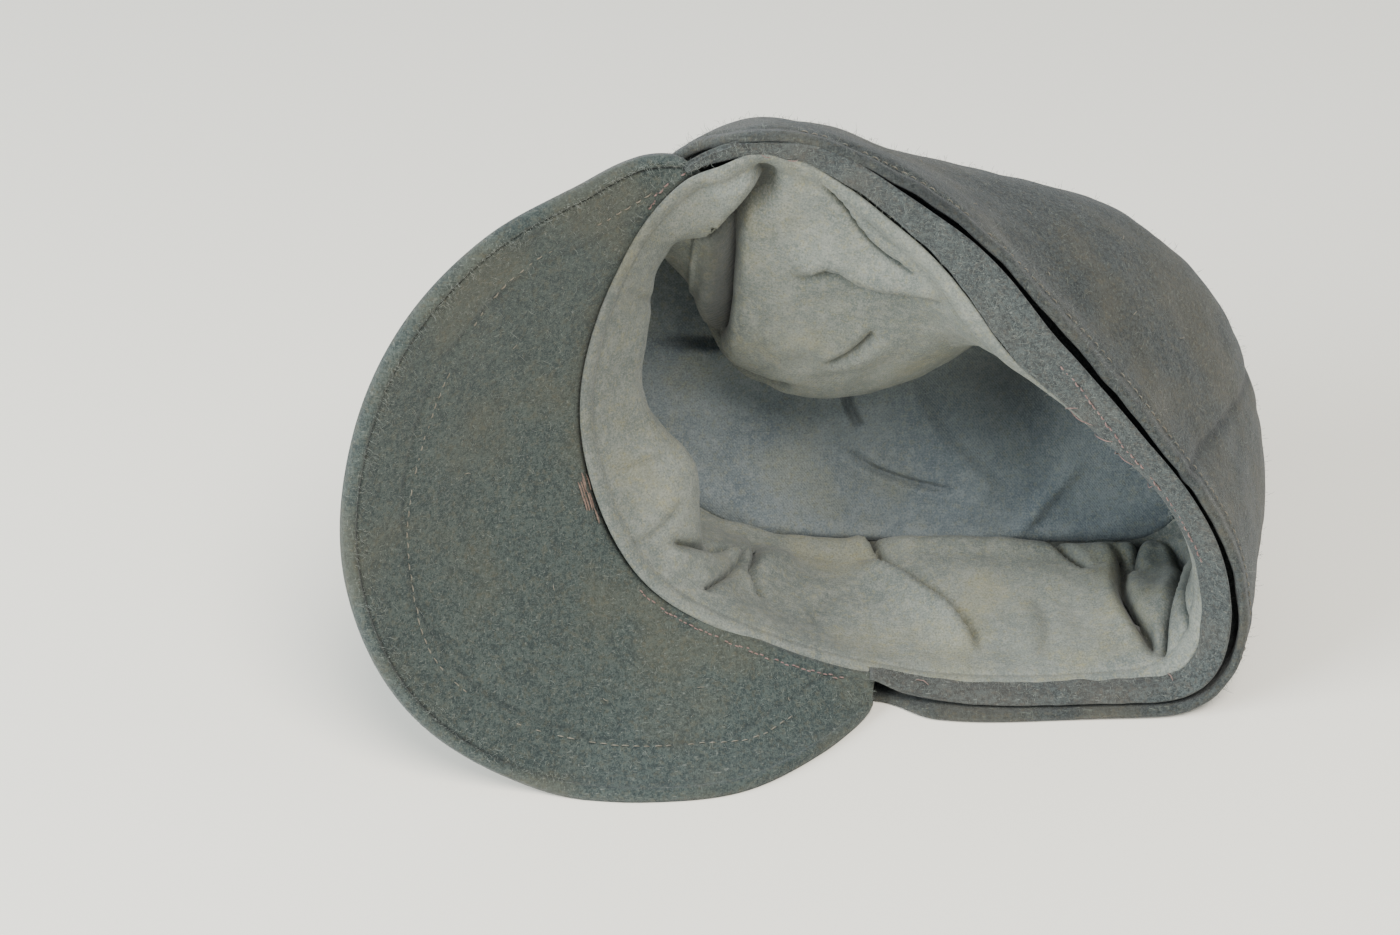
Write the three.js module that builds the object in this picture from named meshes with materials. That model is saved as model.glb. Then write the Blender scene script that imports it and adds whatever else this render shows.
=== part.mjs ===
// A soft woollen field cap with a stiff peak and a turned-up side flap, lying on its right side.
//
// Millimetres, +Z up. The cap lies with its opening towards -Y and its peak towards -X.
// Every soft piece is worked out in the cap's own frame: x to the right, v up across the
// opening and u from the rim into the crown. A place round the cap is a clock hour as seen
// through the opening: 12 is the wearer's left side, 3 the back, 6 the side that lies on
// the floor and 9 the front.

import * as THREE from "three";

// ---------------------------------------------------------------- driving dimensions

const RIM_CENTRE_HEIGHT = 90.7; // middle of the opening above the floor
const TILT = THREE.MathUtils.degToRad(13); // the crown end lies this much lower
const FOOTPRINT_SHIFT_X = 18.4; // puts the origin under the middle of the cap
const FOOTPRINT_SHIFT_Y = -18.4;

const FELT = 2.0; // woollen crown cloth
const FLAP_CLOTH = 3.0; // doubled woollen cloth
const HEM_CLOTH = 1.5;
const PEAK_CLOTH = 4.0; // cloth, stiffener, cloth
const LINING_CLOTH = 1.0;
const FLOOR_ROUNDING = 3; // how softly cloth bends where it starts to lie on the floor
const FLOOR_GIVE = 0.5; // how far that bend is pressed flat
const LAYER_GAP = 0.6; // air between two layers that lie on each other
const SEAM_GAP = 0.4; // air across a seam

const CROWN_RISE = 88; // rim to top seam
const TOP_DOME = 7; // the top stands out this far past its seam
const LINING_RISE = 77;
const LINING_DOME = 4;
const LINING_SLACK = 1.2; // air between crown and lining

const HOURS = 12;
const FRONT_SEAM = 9; // the crown is two panels, sewn at these hours
const BACK_SEAM = 3;
const SEAM_HOURS = 0.005; // hours left free on each side of such a seam

// Reach of the crown cloth's outer face from the middle of the opening, at each clock hour.
const CROWN_SECTIONS = [
  { rise: 0, reach: [70.5, 56, 53, 69, 113, 106, 86, 83, 93.5, 96.7, 97.8, 96] },
  { rise: 8, reach: [63, 44, 42, 61, 108, 105, 86, 83, 93.5, 96.5, 97, 93] },
  { rise: 25, reach: [62, 48, 54, 79, 116, 103, 87, 84, 93.5, 97, 96, 88] },
  { rise: 45, reach: [65, 62, 78, 102, 124, 97, 84, 86, 93, 95, 94, 85] },
  { rise: 65, reach: [63, 64, 84, 109, 125, 91, 78, 84, 91, 91, 89, 78] },
  { rise: 79, reach: [57, 58, 76, 100, 114, 85, 74, 79, 87, 85, 82, 68] },
  { rise: CROWN_RISE, reach: [50, 52, 68, 90, 101, 79, 70, 73, 80, 77, 73, 60] },
];

// Reach of the turned-up flap's outer face. It stands clear of the crown at hours 11 to 3.
const FLAP_SECTIONS = [
  { rise: -2, reach: [76.5, 60.5, 59, 75.5, 119, 112, 97, 90, 100, 102, 103, 103] },
  { rise: 12, reach: [76.5, 62.5, 64, 83, 124, 111, 96, 91, 100, 102, 103, 102] },
  { rise: 32, reach: [74, 67, 78, 99, 130, 107, 94, 92, 99, 102, 101, 97] },
  { rise: 55, reach: [70, 70.5, 88.5, 113, 131, 100, 88, 91, 97, 98, 97, 90] },
  { rise: 76, reach: [65, 66, 87, 113, 130, 92, 81, 87, 93, 93, 90, 84] },
];

// Where the back of the rim meets the floor the cap is squeezed into a corner.
const FLOOR_CORNER = { hour: 4.4, reach: 12, hours: 0.4, rise: 60 };

// Lower fold and upper free edge of the flap, from one end round the back to the other.
// Beside the peak the fold climbs over the peak's ends.
const FLAP_EDGES = [
  { hour: 9, low: 16, high: 46 },
  { hour: 10, low: 12, high: 52 },
  { hour: 10.8, low: 6, high: 60 },
  { hour: 11.1, low: -1.5, high: 63 },
  { hour: 11.5, low: -2, high: 66 },
  { hour: 13, low: -2, high: 71 },
  { hour: 15, low: -2, high: 74 },
  { hour: 17, low: -2, high: 71 },
  { hour: 17.75, low: -1.5, high: 68 },
  { hour: 18.05, low: 6, high: 67 },
  { hour: 19, low: 9, high: 60 },
  { hour: 21, low: 16, high: 46 },
];
const FLAP_END_GAP = 0.02; // hours left free beside the meeting of the two ends

// The peak: reach of its edge, and how far that edge comes forward of the rim.
const PEAK_STATIONS = [
  { hour: 6.12, reach: 94.5, forward: 1 },
  { hour: 6.4, reach: 99, forward: 17 },
  { hour: 6.8, reach: 111, forward: 34 },
  { hour: 7.2, reach: 126, forward: 39 },
  { hour: 7.6, reach: 143.5, forward: 38 },
  { hour: 8.1, reach: 157, forward: 41 },
  { hour: 8.6, reach: 159, forward: 42 },
  { hour: 9.1, reach: 153, forward: 42 },
  { hour: 9.6, reach: 143.5, forward: 39.5 },
  { hour: 10, reach: 131.5, forward: 30 },
  { hour: 10.3, reach: 119, forward: 17 },
  { hour: 10.57, reach: 110.5, forward: 4 },
  { hour: 10.75, reach: 102, forward: 0 },
];
const PEAK_END_RAMP = 0.3; // hours over which the crown's edge comes out from behind the peak
const PEAK_LIFT = 3.4; // the near face stays this far off the floor, the far face rests on it
const PEAK_ARCH = 0.3; // how much flatter the peak leaves the rim than it ends

// Depth of the turned-in hem at each clock hour. The lining starts where the hem ends.
const HEM_DEPTH = [7, 9, 9, 8, 8, 6, 5, 2, -1, -1, -1, 2];
const HEM_FIRST_HOUR = 11.2;
const HEM_LAST_HOUR = 18.4;

// The upper wall has caved in: how far, as a share, round the cap and from rim to top.
const SAG_ROUND = [
  { hour: 9, share: 0 },
  { hour: 10.25, share: 0 },
  { hour: 10.65, share: 0.3 },
  { hour: 10.95, share: 0.8 },
  { hour: 11.3, share: 1 },
  { hour: 12, share: 0.88 },
  { hour: 13, share: 0.52 },
  { hour: 14, share: 0.2 },
  { hour: 15, share: 0 },
  { hour: 21, share: 0 },
];
const SAG_DEEP = [
  { rise: 0, share: 0 },
  { rise: 8, share: 0.1 },
  { rise: 25, share: 0.46 },
  { rise: 40, share: 0.8 },
  { rise: 56, share: 1 },
  { rise: 72, share: 0.97 },
  { rise: CROWN_RISE, share: 0.8 },
];
const CROWN_SAG = 44;
const LINING_SAG = 76;

// Soft swellings of the loose lining, away from the crown.
const LINING_SWELLS = [
  { hour: 8.4, rise: 22, inward: 27, hours: 0.75, depth: 15 },
  { hour: 9.6, rise: 18, inward: 12, hours: 0.55, depth: 12 },
  { hour: 7.1, rise: 48, inward: 11, hours: 0.6, depth: 20 },
  { hour: 5.5, rise: 56, inward: 10, hours: 0.8, depth: 18 },
  { hour: 4.3, rise: 30, inward: 10, hours: 0.3, depth: 16 },
];

const BUTTON_RADIUS = 8;
const BUTTON_HEIGHT = 4;
const BUTTON_RISE = 30;

// Mesh fineness: columns round the cap, and rows from rim to top.
const COLUMNS = 60;
const CROWN_ROWS = 10;
const LINING_ROWS = 14;
const FLAP_ROWS = 5;
const HEM_ROWS = 2;
const PEAK_COLUMNS = 40;
const PEAK_ROWS = 5;
const PANEL_RINGS = 4;

// ---------------------------------------------------------------- small numeric helpers

/** Catmull-Rom blend of four neighbouring values. */
function blend(before, from, to, after, share) {
  const turn = (to - before) / 2;
  const nextTurn = (after - from) / 2;
  const bend = 3 * (to - from) - 2 * turn - nextTurn;
  const twist = 2 * (from - to) + turn + nextTurn;
  return from + share * (turn + share * (bend + share * twist));
}

/** A value from twelve hourly ones, smooth round the clock. */
function byHour(values, hour) {
  const turned = ((hour % HOURS) + HOURS) % HOURS;
  const start = Math.floor(turned);
  const pick = (step) => values[(start + step + HOURS) % HOURS];
  return blend(pick(-1), pick(0), pick(1), pick(2), turned - start);
}

/** A value from a table of rows, smooth along the column named key and straight past its ends. */
function alongTable(rows, key, read, place) {
  const last = rows.length - 1;
  const clipped = THREE.MathUtils.clamp(place, rows[0][key], rows[last][key]);
  let start = 0;
  while (start < last - 1 && clipped > rows[start + 1][key]) start += 1;
  const span = rows[start + 1][key] - rows[start][key];
  const share = (clipped - rows[start][key]) / span;
  const slopeAt = (index) => {
    const low = Math.max(index - 1, 0);
    const high = Math.min(index + 1, last);
    return (read(rows[high]) - read(rows[low])) / (rows[high][key] - rows[low][key]);
  };
  const from = read(rows[start]);
  const to = read(rows[start + 1]);
  const turn = slopeAt(start) * span;
  const nextTurn = slopeAt(start + 1) * span;
  const bend = 3 * (to - from) - 2 * turn - nextTurn;
  const twist = 2 * (from - to) + turn + nextTurn;
  const past = (place - clipped) * slopeAt(share > 0.5 ? start + 1 : start);
  return from + share * (turn + share * (bend + share * twist)) + past;
}

/** The smaller of two values, with a rounded changeover of the given size. */
function softLesser(one, other, size) {
  return (one + other - Math.hypot(one - other, size)) / 2;
}

/** Hours between two places on the clock, the short way round. */
function hoursApart(one, other) {
  const apart = Math.abs(one - other) % HOURS;
  return Math.min(apart, HOURS - apart);
}

// ---------------------------------------------------------------- the cap's surfaces

/** Height of a point of the cap's frame above the floor. */
function heightOf(point) {
  return RIM_CENTRE_HEIGHT + point.z * Math.cos(TILT) - point.y * Math.sin(TILT);
}

/** Moves a point of the cap's frame straight up by the given amount. */
function lifted(point, amount) {
  point.y -= amount * Math.sin(TILT);
  point.z += amount * Math.cos(TILT);
  return point;
}

/** Flattens cloth on the floor, above the layers below it, with a rounded start. */
function settle(point, clearance) {
  const height = heightOf(point);
  const over = height - clearance + FLOOR_GIVE;
  const rounded = (over + Math.hypot(over, FLOOR_ROUNDING)) / 2 - FLOOR_GIVE;
  return lifted(point, clearance + Math.max(rounded, 0) - height);
}

/** A point at a clock hour, reach and rise, dropped by the sag of the upper wall. */
function atHour(hour, reach, rise, sag, clearance) {
  const angle = (hour / HOURS) * 2 * Math.PI;
  const point = new THREE.Vector3(reach * Math.sin(angle), rise, reach * Math.cos(angle) - sag);
  return settle(point, clearance);
}

function cornerReach(hour, rise) {
  const round = hoursApart(hour, FLOOR_CORNER.hour) / FLOOR_CORNER.hours;
  const deep = rise / FLOOR_CORNER.rise;
  return FLOOR_CORNER.reach * Math.exp(-round * round - deep * deep);
}

function flapReach(hour, rise) {
  const reach = alongTable(FLAP_SECTIONS, "rise", (row) => byHour(row.reach, hour), rise);
  return reach + cornerReach(hour, rise);
}

function crownReach(hour, rise) {
  const reach = alongTable(CROWN_SECTIONS, "rise", (row) => byHour(row.reach, hour), rise);
  const free = reach + cornerReach(hour, rise);
  const underFlap = flapReach(hour, rise) - FLAP_CLOTH - LAYER_GAP;
  return softLesser(free, underFlap, 1);
}

function sagShare(hour, rise) {
  const clock = hour < SAG_ROUND[0].hour ? hour + HOURS : hour;
  const round = alongTable(SAG_ROUND, "hour", (row) => row.share, clock);
  const deep = alongTable(SAG_DEEP, "rise", (row) => row.share, rise);
  return Math.max(round, 0) * deep;
}

const CROWN_CLEARANCE = FLAP_CLOTH + LAYER_GAP;

/** The crown cloth's outer face. */
function crownPoint(hour, rise) {
  return atHour(hour, crownReach(hour, rise), rise, CROWN_SAG * sagShare(hour, rise), CROWN_CLEARANCE);
}

/** The unit normal of a surface given as a function of two parameters. */
function normalOf(surface, across, along) {
  const step = 1e-3;
  const sideways = surface(across + step, along).sub(surface(across - step, along));
  const lengthways = surface(across, along + step).sub(surface(across, along - step));
  return sideways.cross(lengthways).normalize();
}

/** A point inside the crown cloth, past a gap. */
function insideCrown(hour, rise, gap) {
  const inward = normalOf(crownPoint, hour, rise).multiplyScalar(-FELT - gap);
  return crownPoint(hour, rise).add(inward);
}

/** Over the peak's hours the crown cloth ends behind the peak, elsewhere at the rim. */
function crownStart(hour) {
  const first = PEAK_STATIONS[0].hour;
  const last = PEAK_STATIONS[PEAK_STATIONS.length - 1].hour;
  const beyond = hoursApart(hour, (first + last) / 2) - (last - first) / 2;
  const share = THREE.MathUtils.smoothstep(PEAK_END_RAMP - beyond, 0, PEAK_END_RAMP / 2);
  return share * (PEAK_CLOTH + SEAM_GAP);
}

function liningSwell(hour, rise) {
  let total = 0;
  for (const swell of LINING_SWELLS) {
    const round = hoursApart(hour, swell.hour) / swell.hours;
    const deep = (rise - swell.rise) / swell.depth;
    total += swell.inward * Math.exp(-round * round - deep * deep);
  }
  return total;
}

/** The lining's outer face: just inside the crown, less its swellings and its deeper sag. */
function liningPoint(hour, rise) {
  const slack = THREE.MathUtils.smoothstep(rise, 0, HEM_DEPTH[0] * 2);
  const point = insideCrown(hour, rise, THREE.MathUtils.lerp(LAYER_GAP, LINING_SLACK, slack));
  const angle = (hour / HOURS) * 2 * Math.PI;
  const swell = liningSwell(hour, rise);
  point.x -= swell * Math.sin(angle);
  point.z -= swell * Math.cos(angle) + (LINING_SAG - CROWN_SAG) * sagShare(hour, rise);
  return point;
}

// ---------------------------------------------------------------- mesh building

/** A closed mesh from rings of points: face A, then face B behind it, stitched at the rims. */
function closedSheet(faceA, faceB, wraps) {
  const rows = faceA.length;
  const columns = faceA[0].length;
  const points = [...faceA.flat(), ...faceB.flat()];
  const at = (face, row, column) => face * rows * columns + row * columns + (column % columns);
  const triangles = [];
  const quad = (a, b, c, d) => triangles.push(a, b, c, a, c, d);
  const lastColumn = wraps ? columns : columns - 1;
  for (let row = 0; row < rows - 1; row += 1) {
    for (let column = 0; column < lastColumn; column += 1) {
      const next = column + 1;
      quad(at(0, row, column), at(0, row, next), at(0, row + 1, next), at(0, row + 1, column));
      quad(at(1, row, column), at(1, row + 1, column), at(1, row + 1, next), at(1, row, next));
    }
  }
  for (let column = 0; column < lastColumn; column += 1) {
    const next = column + 1;
    const top = rows - 1;
    quad(at(0, 0, next), at(0, 0, column), at(1, 0, column), at(1, 0, next));
    quad(at(0, top, column), at(0, top, next), at(1, top, next), at(1, top, column));
  }
  if (!wraps) {
    const end = columns - 1;
    for (let row = 0; row < rows - 1; row += 1) {
      quad(at(0, row, 0), at(0, row + 1, 0), at(1, row + 1, 0), at(1, row, 0));
      quad(at(0, row + 1, end), at(0, row, end), at(1, row, end), at(1, row + 1, end));
    }
  }
  const geometry = new THREE.BufferGeometry();
  const flat = points.flatMap((point) => [point.x, point.y, point.z]);
  geometry.setAttribute("position", new THREE.Float32BufferAttribute(flat, 3));
  geometry.setIndex(triangles);
  geometry.computeVertexNormals();
  return geometry;
}

/** A cloth wall: a surface and its copy set inward by the cloth's thickness. */
function wall(surface, columns, rows, thickness, wraps) {
  const outer = [];
  const inner = [];
  for (let row = 0; row <= rows; row += 1) {
    const outerRow = [];
    const innerRow = [];
    const count = wraps ? columns : columns + 1;
    for (let column = 0; column < count; column += 1) {
      const across = column / columns;
      const along = row / rows;
      const point = surface(across, along);
      outerRow.push(point);
      const inward = normalOf(surface, across, along).multiplyScalar(-thickness);
      inward.add(point);
      innerRow.push(lifted(inward, Math.max(-heightOf(inward), 0)));
    }
    outer.push(outerRow);
    inner.push(innerRow);
  }
  return closedSheet(outer, inner, wraps);
}

/** The mean of a ring's points over a stretch on both sides of one place. */
function stretchMean(ring, place, stretch) {
  const mean = new THREE.Vector3();
  for (let step = -stretch; step <= stretch; step += 1) {
    mean.add(ring[(place + step + ring.length) % ring.length]);
  }
  return mean.divideScalar(2 * stretch + 1);
}

/** A domed panel that closes a ring: two fans of rings, one cloth apart along u. */
function panel(ring, centre, dome, rings, thickness) {
  const columns = ring.length;
  const evened = ring.map((_, place) => stretchMean(ring, place, Math.round(columns / 6)));
  const points = [];
  for (const side of [0, 1]) {
    for (let step = rings; step > 0; step -= 1) {
      const share = step / rings;
      for (let column = 0; column < columns; column += 1) {
        const edge = evened[column].clone().lerp(ring[column], share * share);
        const point = centre.clone().lerp(edge, share);
        point.y += dome * (1 - share * share) - side * thickness;
        points.push(point);
      }
    }
    points.push(centre.clone().add(new THREE.Vector3(0, dome - side * thickness, 0)));
  }
  const perSide = rings * columns + 1;
  const at = (side, step, column) => side * perSide + step * columns + (column % columns);
  const triangles = [];
  for (let column = 0; column < columns; column += 1) {
    const next = column + 1;
    for (let step = 0; step < rings - 1; step += 1) {
      const outside = [at(0, step, column), at(0, step, next), at(0, step + 1, next)];
      const outsideRest = [at(0, step, column), at(0, step + 1, next), at(0, step + 1, column)];
      const inside = [at(1, step, column), at(1, step + 1, next), at(1, step, next)];
      const insideRest = [at(1, step, column), at(1, step + 1, column), at(1, step + 1, next)];
      triangles.push(...outside, ...outsideRest, ...inside, ...insideRest);
    }
    triangles.push(at(0, rings - 1, column), at(0, rings - 1, next), perSide - 1);
    triangles.push(at(1, rings - 1, next), at(1, rings - 1, column), 2 * perSide - 1);
    triangles.push(at(0, 0, next), at(0, 0, column), at(1, 0, column));
    triangles.push(at(0, 0, next), at(1, 0, column), at(1, 0, next));
  }
  const geometry = new THREE.BufferGeometry();
  const flat = points.flatMap((point) => [point.x, point.y, point.z]);
  geometry.setAttribute("position", new THREE.Float32BufferAttribute(flat, 3));
  geometry.setIndex(triangles);
  geometry.computeVertexNormals();
  return geometry;
}

// ---------------------------------------------------------------- materials

const cloth = (color) => new THREE.MeshStandardMaterial({ color, roughness: 0.9, metalness: 0 });
const FIELD_GREY = 0x4f5a56;
const FIELD_GREY_TURNED = 0x5a6462;
const LINING_GREY = 0x8d9590;

// ---------------------------------------------------------------- pieces

/** One of the crown's two long panels, from the seam at one hour to the seam at the other. */
function crownPanel(firstSeam, lastSeam) {
  const surface = (across, along) => {
    const hour = THREE.MathUtils.lerp(firstSeam + SEAM_HOURS, lastSeam - SEAM_HOURS, across);
    return crownPoint(hour, THREE.MathUtils.lerp(crownStart(hour), CROWN_RISE, along));
  };
  return wall(surface, COLUMNS / 2, CROWN_ROWS, FELT, false);
}

/** The ring of a wall's upper edge, moved past it by the seam gap and the panel's cloth. */
function seamRing(pointAt, columns, past) {
  const ring = [];
  for (let column = 0; column < columns; column += 1) {
    const point = pointAt((column / columns) * HOURS);
    point.y += past;
    ring.push(point);
  }
  return ring;
}

function crownTop() {
  const ring = seamRing((hour) => crownPoint(hour, CROWN_RISE), COLUMNS, SEAM_GAP + FELT);
  const centre = new THREE.Vector3(-6, CROWN_RISE + SEAM_GAP + FELT, -25);
  return panel(ring, centre, TOP_DOME, PANEL_RINGS, FELT);
}

function rimBand() {
  const hours = HEM_LAST_HOUR - HEM_FIRST_HOUR;
  const columns = Math.round((hours / HOURS) * COLUMNS);
  const surface = (across, along) => {
    const hour = HEM_FIRST_HOUR + across * hours;
    return insideCrown(hour, along * byHour(HEM_DEPTH, hour), LAYER_GAP);
  };
  return wall(surface, columns, HEM_ROWS, HEM_CLOTH, false);
}

function sideFlap() {
  const front = FLAP_EDGES[0].hour;
  const surface = (across, along) => {
    const turned = THREE.MathUtils.clamp(across * HOURS, FLAP_END_GAP, HOURS - FLAP_END_GAP);
    const hour = front + turned;
    const low = alongTable(FLAP_EDGES, "hour", (row) => row.low, hour);
    const high = alongTable(FLAP_EDGES, "hour", (row) => row.high, hour);
    const rise = THREE.MathUtils.lerp(low, high, along);
    return atHour(hour, flapReach(hour, rise), rise, 0, 0);
  };
  return wall(surface, COLUMNS, FLAP_ROWS, FLAP_CLOTH, false);
}

function peak() {
  const first = PEAK_STATIONS[0].hour;
  const last = PEAK_STATIONS[PEAK_STATIONS.length - 1].hour;
  const surface = (across, along) => {
    const hour = THREE.MathUtils.lerp(first, last, across);
    const inner = crownReach(hour, 0) - FELT;
    const edge = alongTable(PEAK_STATIONS, "hour", (row) => row.reach, hour);
    const forward = alongTable(PEAK_STATIONS, "hour", (row) => row.forward, hour);
    const reach = THREE.MathUtils.lerp(inner, edge, along);
    const dip = along * THREE.MathUtils.lerp(1 - PEAK_ARCH, 1, along);
    return atHour(hour, reach, -forward * dip, 0, PEAK_LIFT);
  };
  return wall(surface, PEAK_COLUMNS, PEAK_ROWS, PEAK_CLOTH, false);
}

function liningSide() {
  const surface = (across, along) => {
    const hour = across * HOURS;
    const first = byHour(HEM_DEPTH, hour) + SEAM_GAP;
    return liningPoint(hour, THREE.MathUtils.lerp(first, LINING_RISE, along));
  };
  return wall(surface, COLUMNS, LINING_ROWS, LINING_CLOTH, true);
}

/** The lining's end panel fits inside the end of its wall. */
function liningTop() {
  const inset = LINING_CLOTH + 2 * SEAM_GAP;
  const insideWall = (hour) => {
    const inward = normalOf(liningPoint, hour, LINING_RISE).multiplyScalar(-inset);
    return liningPoint(hour, LINING_RISE).add(inward);
  };
  const ring = seamRing(insideWall, COLUMNS, 0);
  const centre = new THREE.Vector3(-18, LINING_RISE, -42);
  return panel(ring, centre, LINING_DOME, PANEL_RINGS, LINING_CLOTH);
}

/** One plain button on the flap's outer face, over the meeting of its two ends. */
function flapButton() {
  const geometry = new THREE.CylinderGeometry(BUTTON_RADIUS, BUTTON_RADIUS, BUTTON_HEIGHT, 24);
  geometry.rotateZ(Math.PI / 2);
  const reach = flapReach(FLAP_EDGES[0].hour, BUTTON_RISE) + SEAM_GAP + BUTTON_HEIGHT / 2;
  geometry.translate(-reach, BUTTON_RISE, 0);
  return geometry;
}

const PIECES = [
  { name: "crown_left", geometry: crownPanel(FRONT_SEAM, BACK_SEAM + HOURS), material: cloth(FIELD_GREY) },
  { name: "crown_right", geometry: crownPanel(BACK_SEAM, FRONT_SEAM), material: cloth(FIELD_GREY) },
  { name: "crown_top", geometry: crownTop(), material: cloth(FIELD_GREY) },
  { name: "rim_band", geometry: rimBand(), material: cloth(FIELD_GREY_TURNED) },
  { name: "side_flap", geometry: sideFlap(), material: cloth(FIELD_GREY) },
  { name: "peak", geometry: peak(), material: cloth(FIELD_GREY) },
  { name: "lining_side", geometry: liningSide(), material: cloth(LINING_GREY) },
  { name: "lining_top", geometry: liningTop(), material: cloth(LINING_GREY) },
  { name: "flap_button", geometry: flapButton(), material: cloth(FIELD_GREY) },
];

const cap = new THREE.Group();
for (const { name, geometry, material } of PIECES) {
  const mesh = new THREE.Mesh(geometry, material);
  mesh.name = name;
  cap.add(mesh);
}
cap.rotation.x = -TILT;
cap.position.set(FOOTPRINT_SHIFT_X, FOOTPRINT_SHIFT_Y, RIM_CENTRE_HEIGHT);

const part = new THREE.Group();
part.add(cap);

export default part;
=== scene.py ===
import math

import bmesh
import bpy
import numpy as np
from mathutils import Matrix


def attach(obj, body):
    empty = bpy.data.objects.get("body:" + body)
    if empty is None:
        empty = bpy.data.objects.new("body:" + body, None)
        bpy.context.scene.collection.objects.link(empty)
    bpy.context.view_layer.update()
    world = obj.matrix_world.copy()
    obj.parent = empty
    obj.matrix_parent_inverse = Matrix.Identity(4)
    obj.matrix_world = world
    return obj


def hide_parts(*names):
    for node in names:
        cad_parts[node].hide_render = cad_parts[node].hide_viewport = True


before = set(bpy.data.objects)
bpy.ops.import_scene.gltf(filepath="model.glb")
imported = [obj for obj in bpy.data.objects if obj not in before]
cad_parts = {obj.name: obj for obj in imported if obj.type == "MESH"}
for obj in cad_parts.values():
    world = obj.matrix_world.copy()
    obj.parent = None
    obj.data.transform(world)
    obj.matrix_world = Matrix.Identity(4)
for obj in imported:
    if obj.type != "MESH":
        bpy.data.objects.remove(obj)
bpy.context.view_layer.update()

# ---------- crown wall
# Field-grey wool felt, 2 mm thick, sewn into a ring with seams at the front and the back.
# It stands from the rim to the top seam, and on the wearer's left it has caved in.

# Soft pieces are worked out in the cap's own frame in millimetres: x to the right, rise from
# the rim into the crown, v up across the opening, and clock hours round it, with 12 on the
# wearer's left, 3 at the back, 6 on the floor side and 9 at the front.
MM = 0.001
RIM_HEIGHT, TILT = 90.7, math.radians(13)
SHIFT_X, SHIFT_Y = 18.4, -18.4
UP = np.array([0, -math.sin(TILT), math.cos(TILT)])
FELT, LAYER_GAP, SEAM_GAP = 2.0, 0.6, 0.4
FLAP_CLOTH, PEAK_CLOTH = 3.0, 4.0
FLOOR_ROUNDING, FLOOR_GIVE = 3.0, 0.5
CROWN_RISE = 88.0
COLUMNS = 440
HOUR_LENGTH = 52  # cloth to a clock hour, for the uv

# Reaches from the middle of the opening, one row to a rise and one value to a clock hour,
# 12 first. Sags are shares by hour and by rise.
CROWN_RISES = [0, 8, 25, 45, 65, 79, 88]
CROWN_REACHES = [
    [72, 56, 53, 69, 113, 106, 86, 83, 93.5, 96.7, 97.8, 101],
    [64, 44, 42, 61, 108, 105, 86, 83, 93.5, 96.5, 97, 97],
    [62, 48, 54, 79, 116, 103, 87, 84, 93.5, 97, 96, 88],
    [65, 62, 78, 102, 124, 97, 84, 86, 93, 95, 94, 85],
    [63, 64, 84, 109, 125, 91, 78, 84, 91, 91, 89, 78],
    [57, 58, 76, 100, 114, 85, 74, 79, 87, 85, 82, 68],
    [50, 52, 68, 90, 101, 79, 70, 73, 80, 77, 73, 60],
]
FLAP_RISES = [-2, 12, 32, 55, 76]
FLAP_REACHES = [
    [76.5, 60.5, 59, 75.5, 119, 112, 97, 90, 100, 102, 103, 103],
    [76.5, 62.5, 64, 83, 124, 111, 96, 91, 100, 102, 103, 102],
    [74, 67, 78, 99, 130, 107, 94, 92, 99, 102, 101, 97],
    [70, 70.5, 88.5, 113, 131, 100, 88, 91, 97, 98, 97, 90],
    [65, 66, 87, 113, 130, 92, 81, 87, 93, 93, 90, 84],
]
SAG_HOURS = [9, 10.25, 10.65, 10.95, 11.3, 12, 13, 14, 15, 21]
SAG_SHARES = [0, 0, 0.3, 0.8, 1, 0.88, 0.52, 0.2, 0, 0]
SAG_RISES = [0, 8, 25, 40, 56, 72, 88]
SAG_DEPTHS = [0, 0.1, 0.46, 0.8, 1, 0.97, 0.8]
CROWN_SAG = 44.0
CORNER_HOUR, CORNER_REACH = 4.4, 12
HEM_FOLD = 2.2  # the crown's cloth starts this far in where the hem is folded round the rim
PEAK_HOURS = [6.12, 6.4, 6.8, 7.2, 7.6, 8.1, 8.6, 9.1, 9.6, 10, 10.3, 10.57, 10.75]


def along(places, values, at):
    """Smooth curve through a table: each span is a cubic with the slopes of the chords over
    its neighbours, and past the table's ends it goes on straight."""
    at, places, values = (np.asarray(x, float) for x in (at, places, values))
    values = values.reshape(values.shape + (1,) * (at.ndim + 1 - values.ndim))
    values = np.broadcast_to(values, (len(places),) + at.shape)
    row = np.arange(len(places))
    low, high = np.maximum(row - 1, 0), np.minimum(row + 1, len(places) - 1)
    run = (places[high] - places[low]).reshape((-1,) + (1,) * at.ndim)
    slopes = (values[high] - values[low]) / run
    clipped = np.clip(at, places[0], places[-1])
    start = np.clip(np.searchsorted(places, clipped) - 1, 0, len(places) - 2)

    def pick(rows, index):
        return np.take_along_axis(rows, index[None], 0)[0]

    span = places[start + 1] - places[start]
    share = (clipped - places[start]) / span
    a, b = pick(values, start), pick(values, start + 1)
    m, n = pick(slopes, start) * span, pick(slopes, start + 1) * span
    curve = a + share * (m + share * ((3 * (b - a) - 2 * m - n) + share * (2 * (a - b) + m + n)))
    return curve + (at - clipped) * np.where(share > 0.5, n, m) / span


def by_hour(values, hour):
    """The same round the clock, through twelve hourly values."""
    values = np.asarray(values, float)
    turned = np.mod(hour, 12)
    start = np.floor(turned).astype(int)
    t = turned - start
    a, b, c, d = (values[(start + k) % 12] for k in (-1, 0, 1, 2))
    m, n = (c - a) / 2, (d - b) / 2
    return b + t * (m + t * ((3 * (c - b) - 2 * m - n) + t * (2 * (b - c) + m + n)))


def hours_apart(one, other):
    """The shorter way round the clock between two hours."""
    apart = np.mod(np.abs(one - other), 12)
    return np.minimum(apart, 12 - apart)


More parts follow.
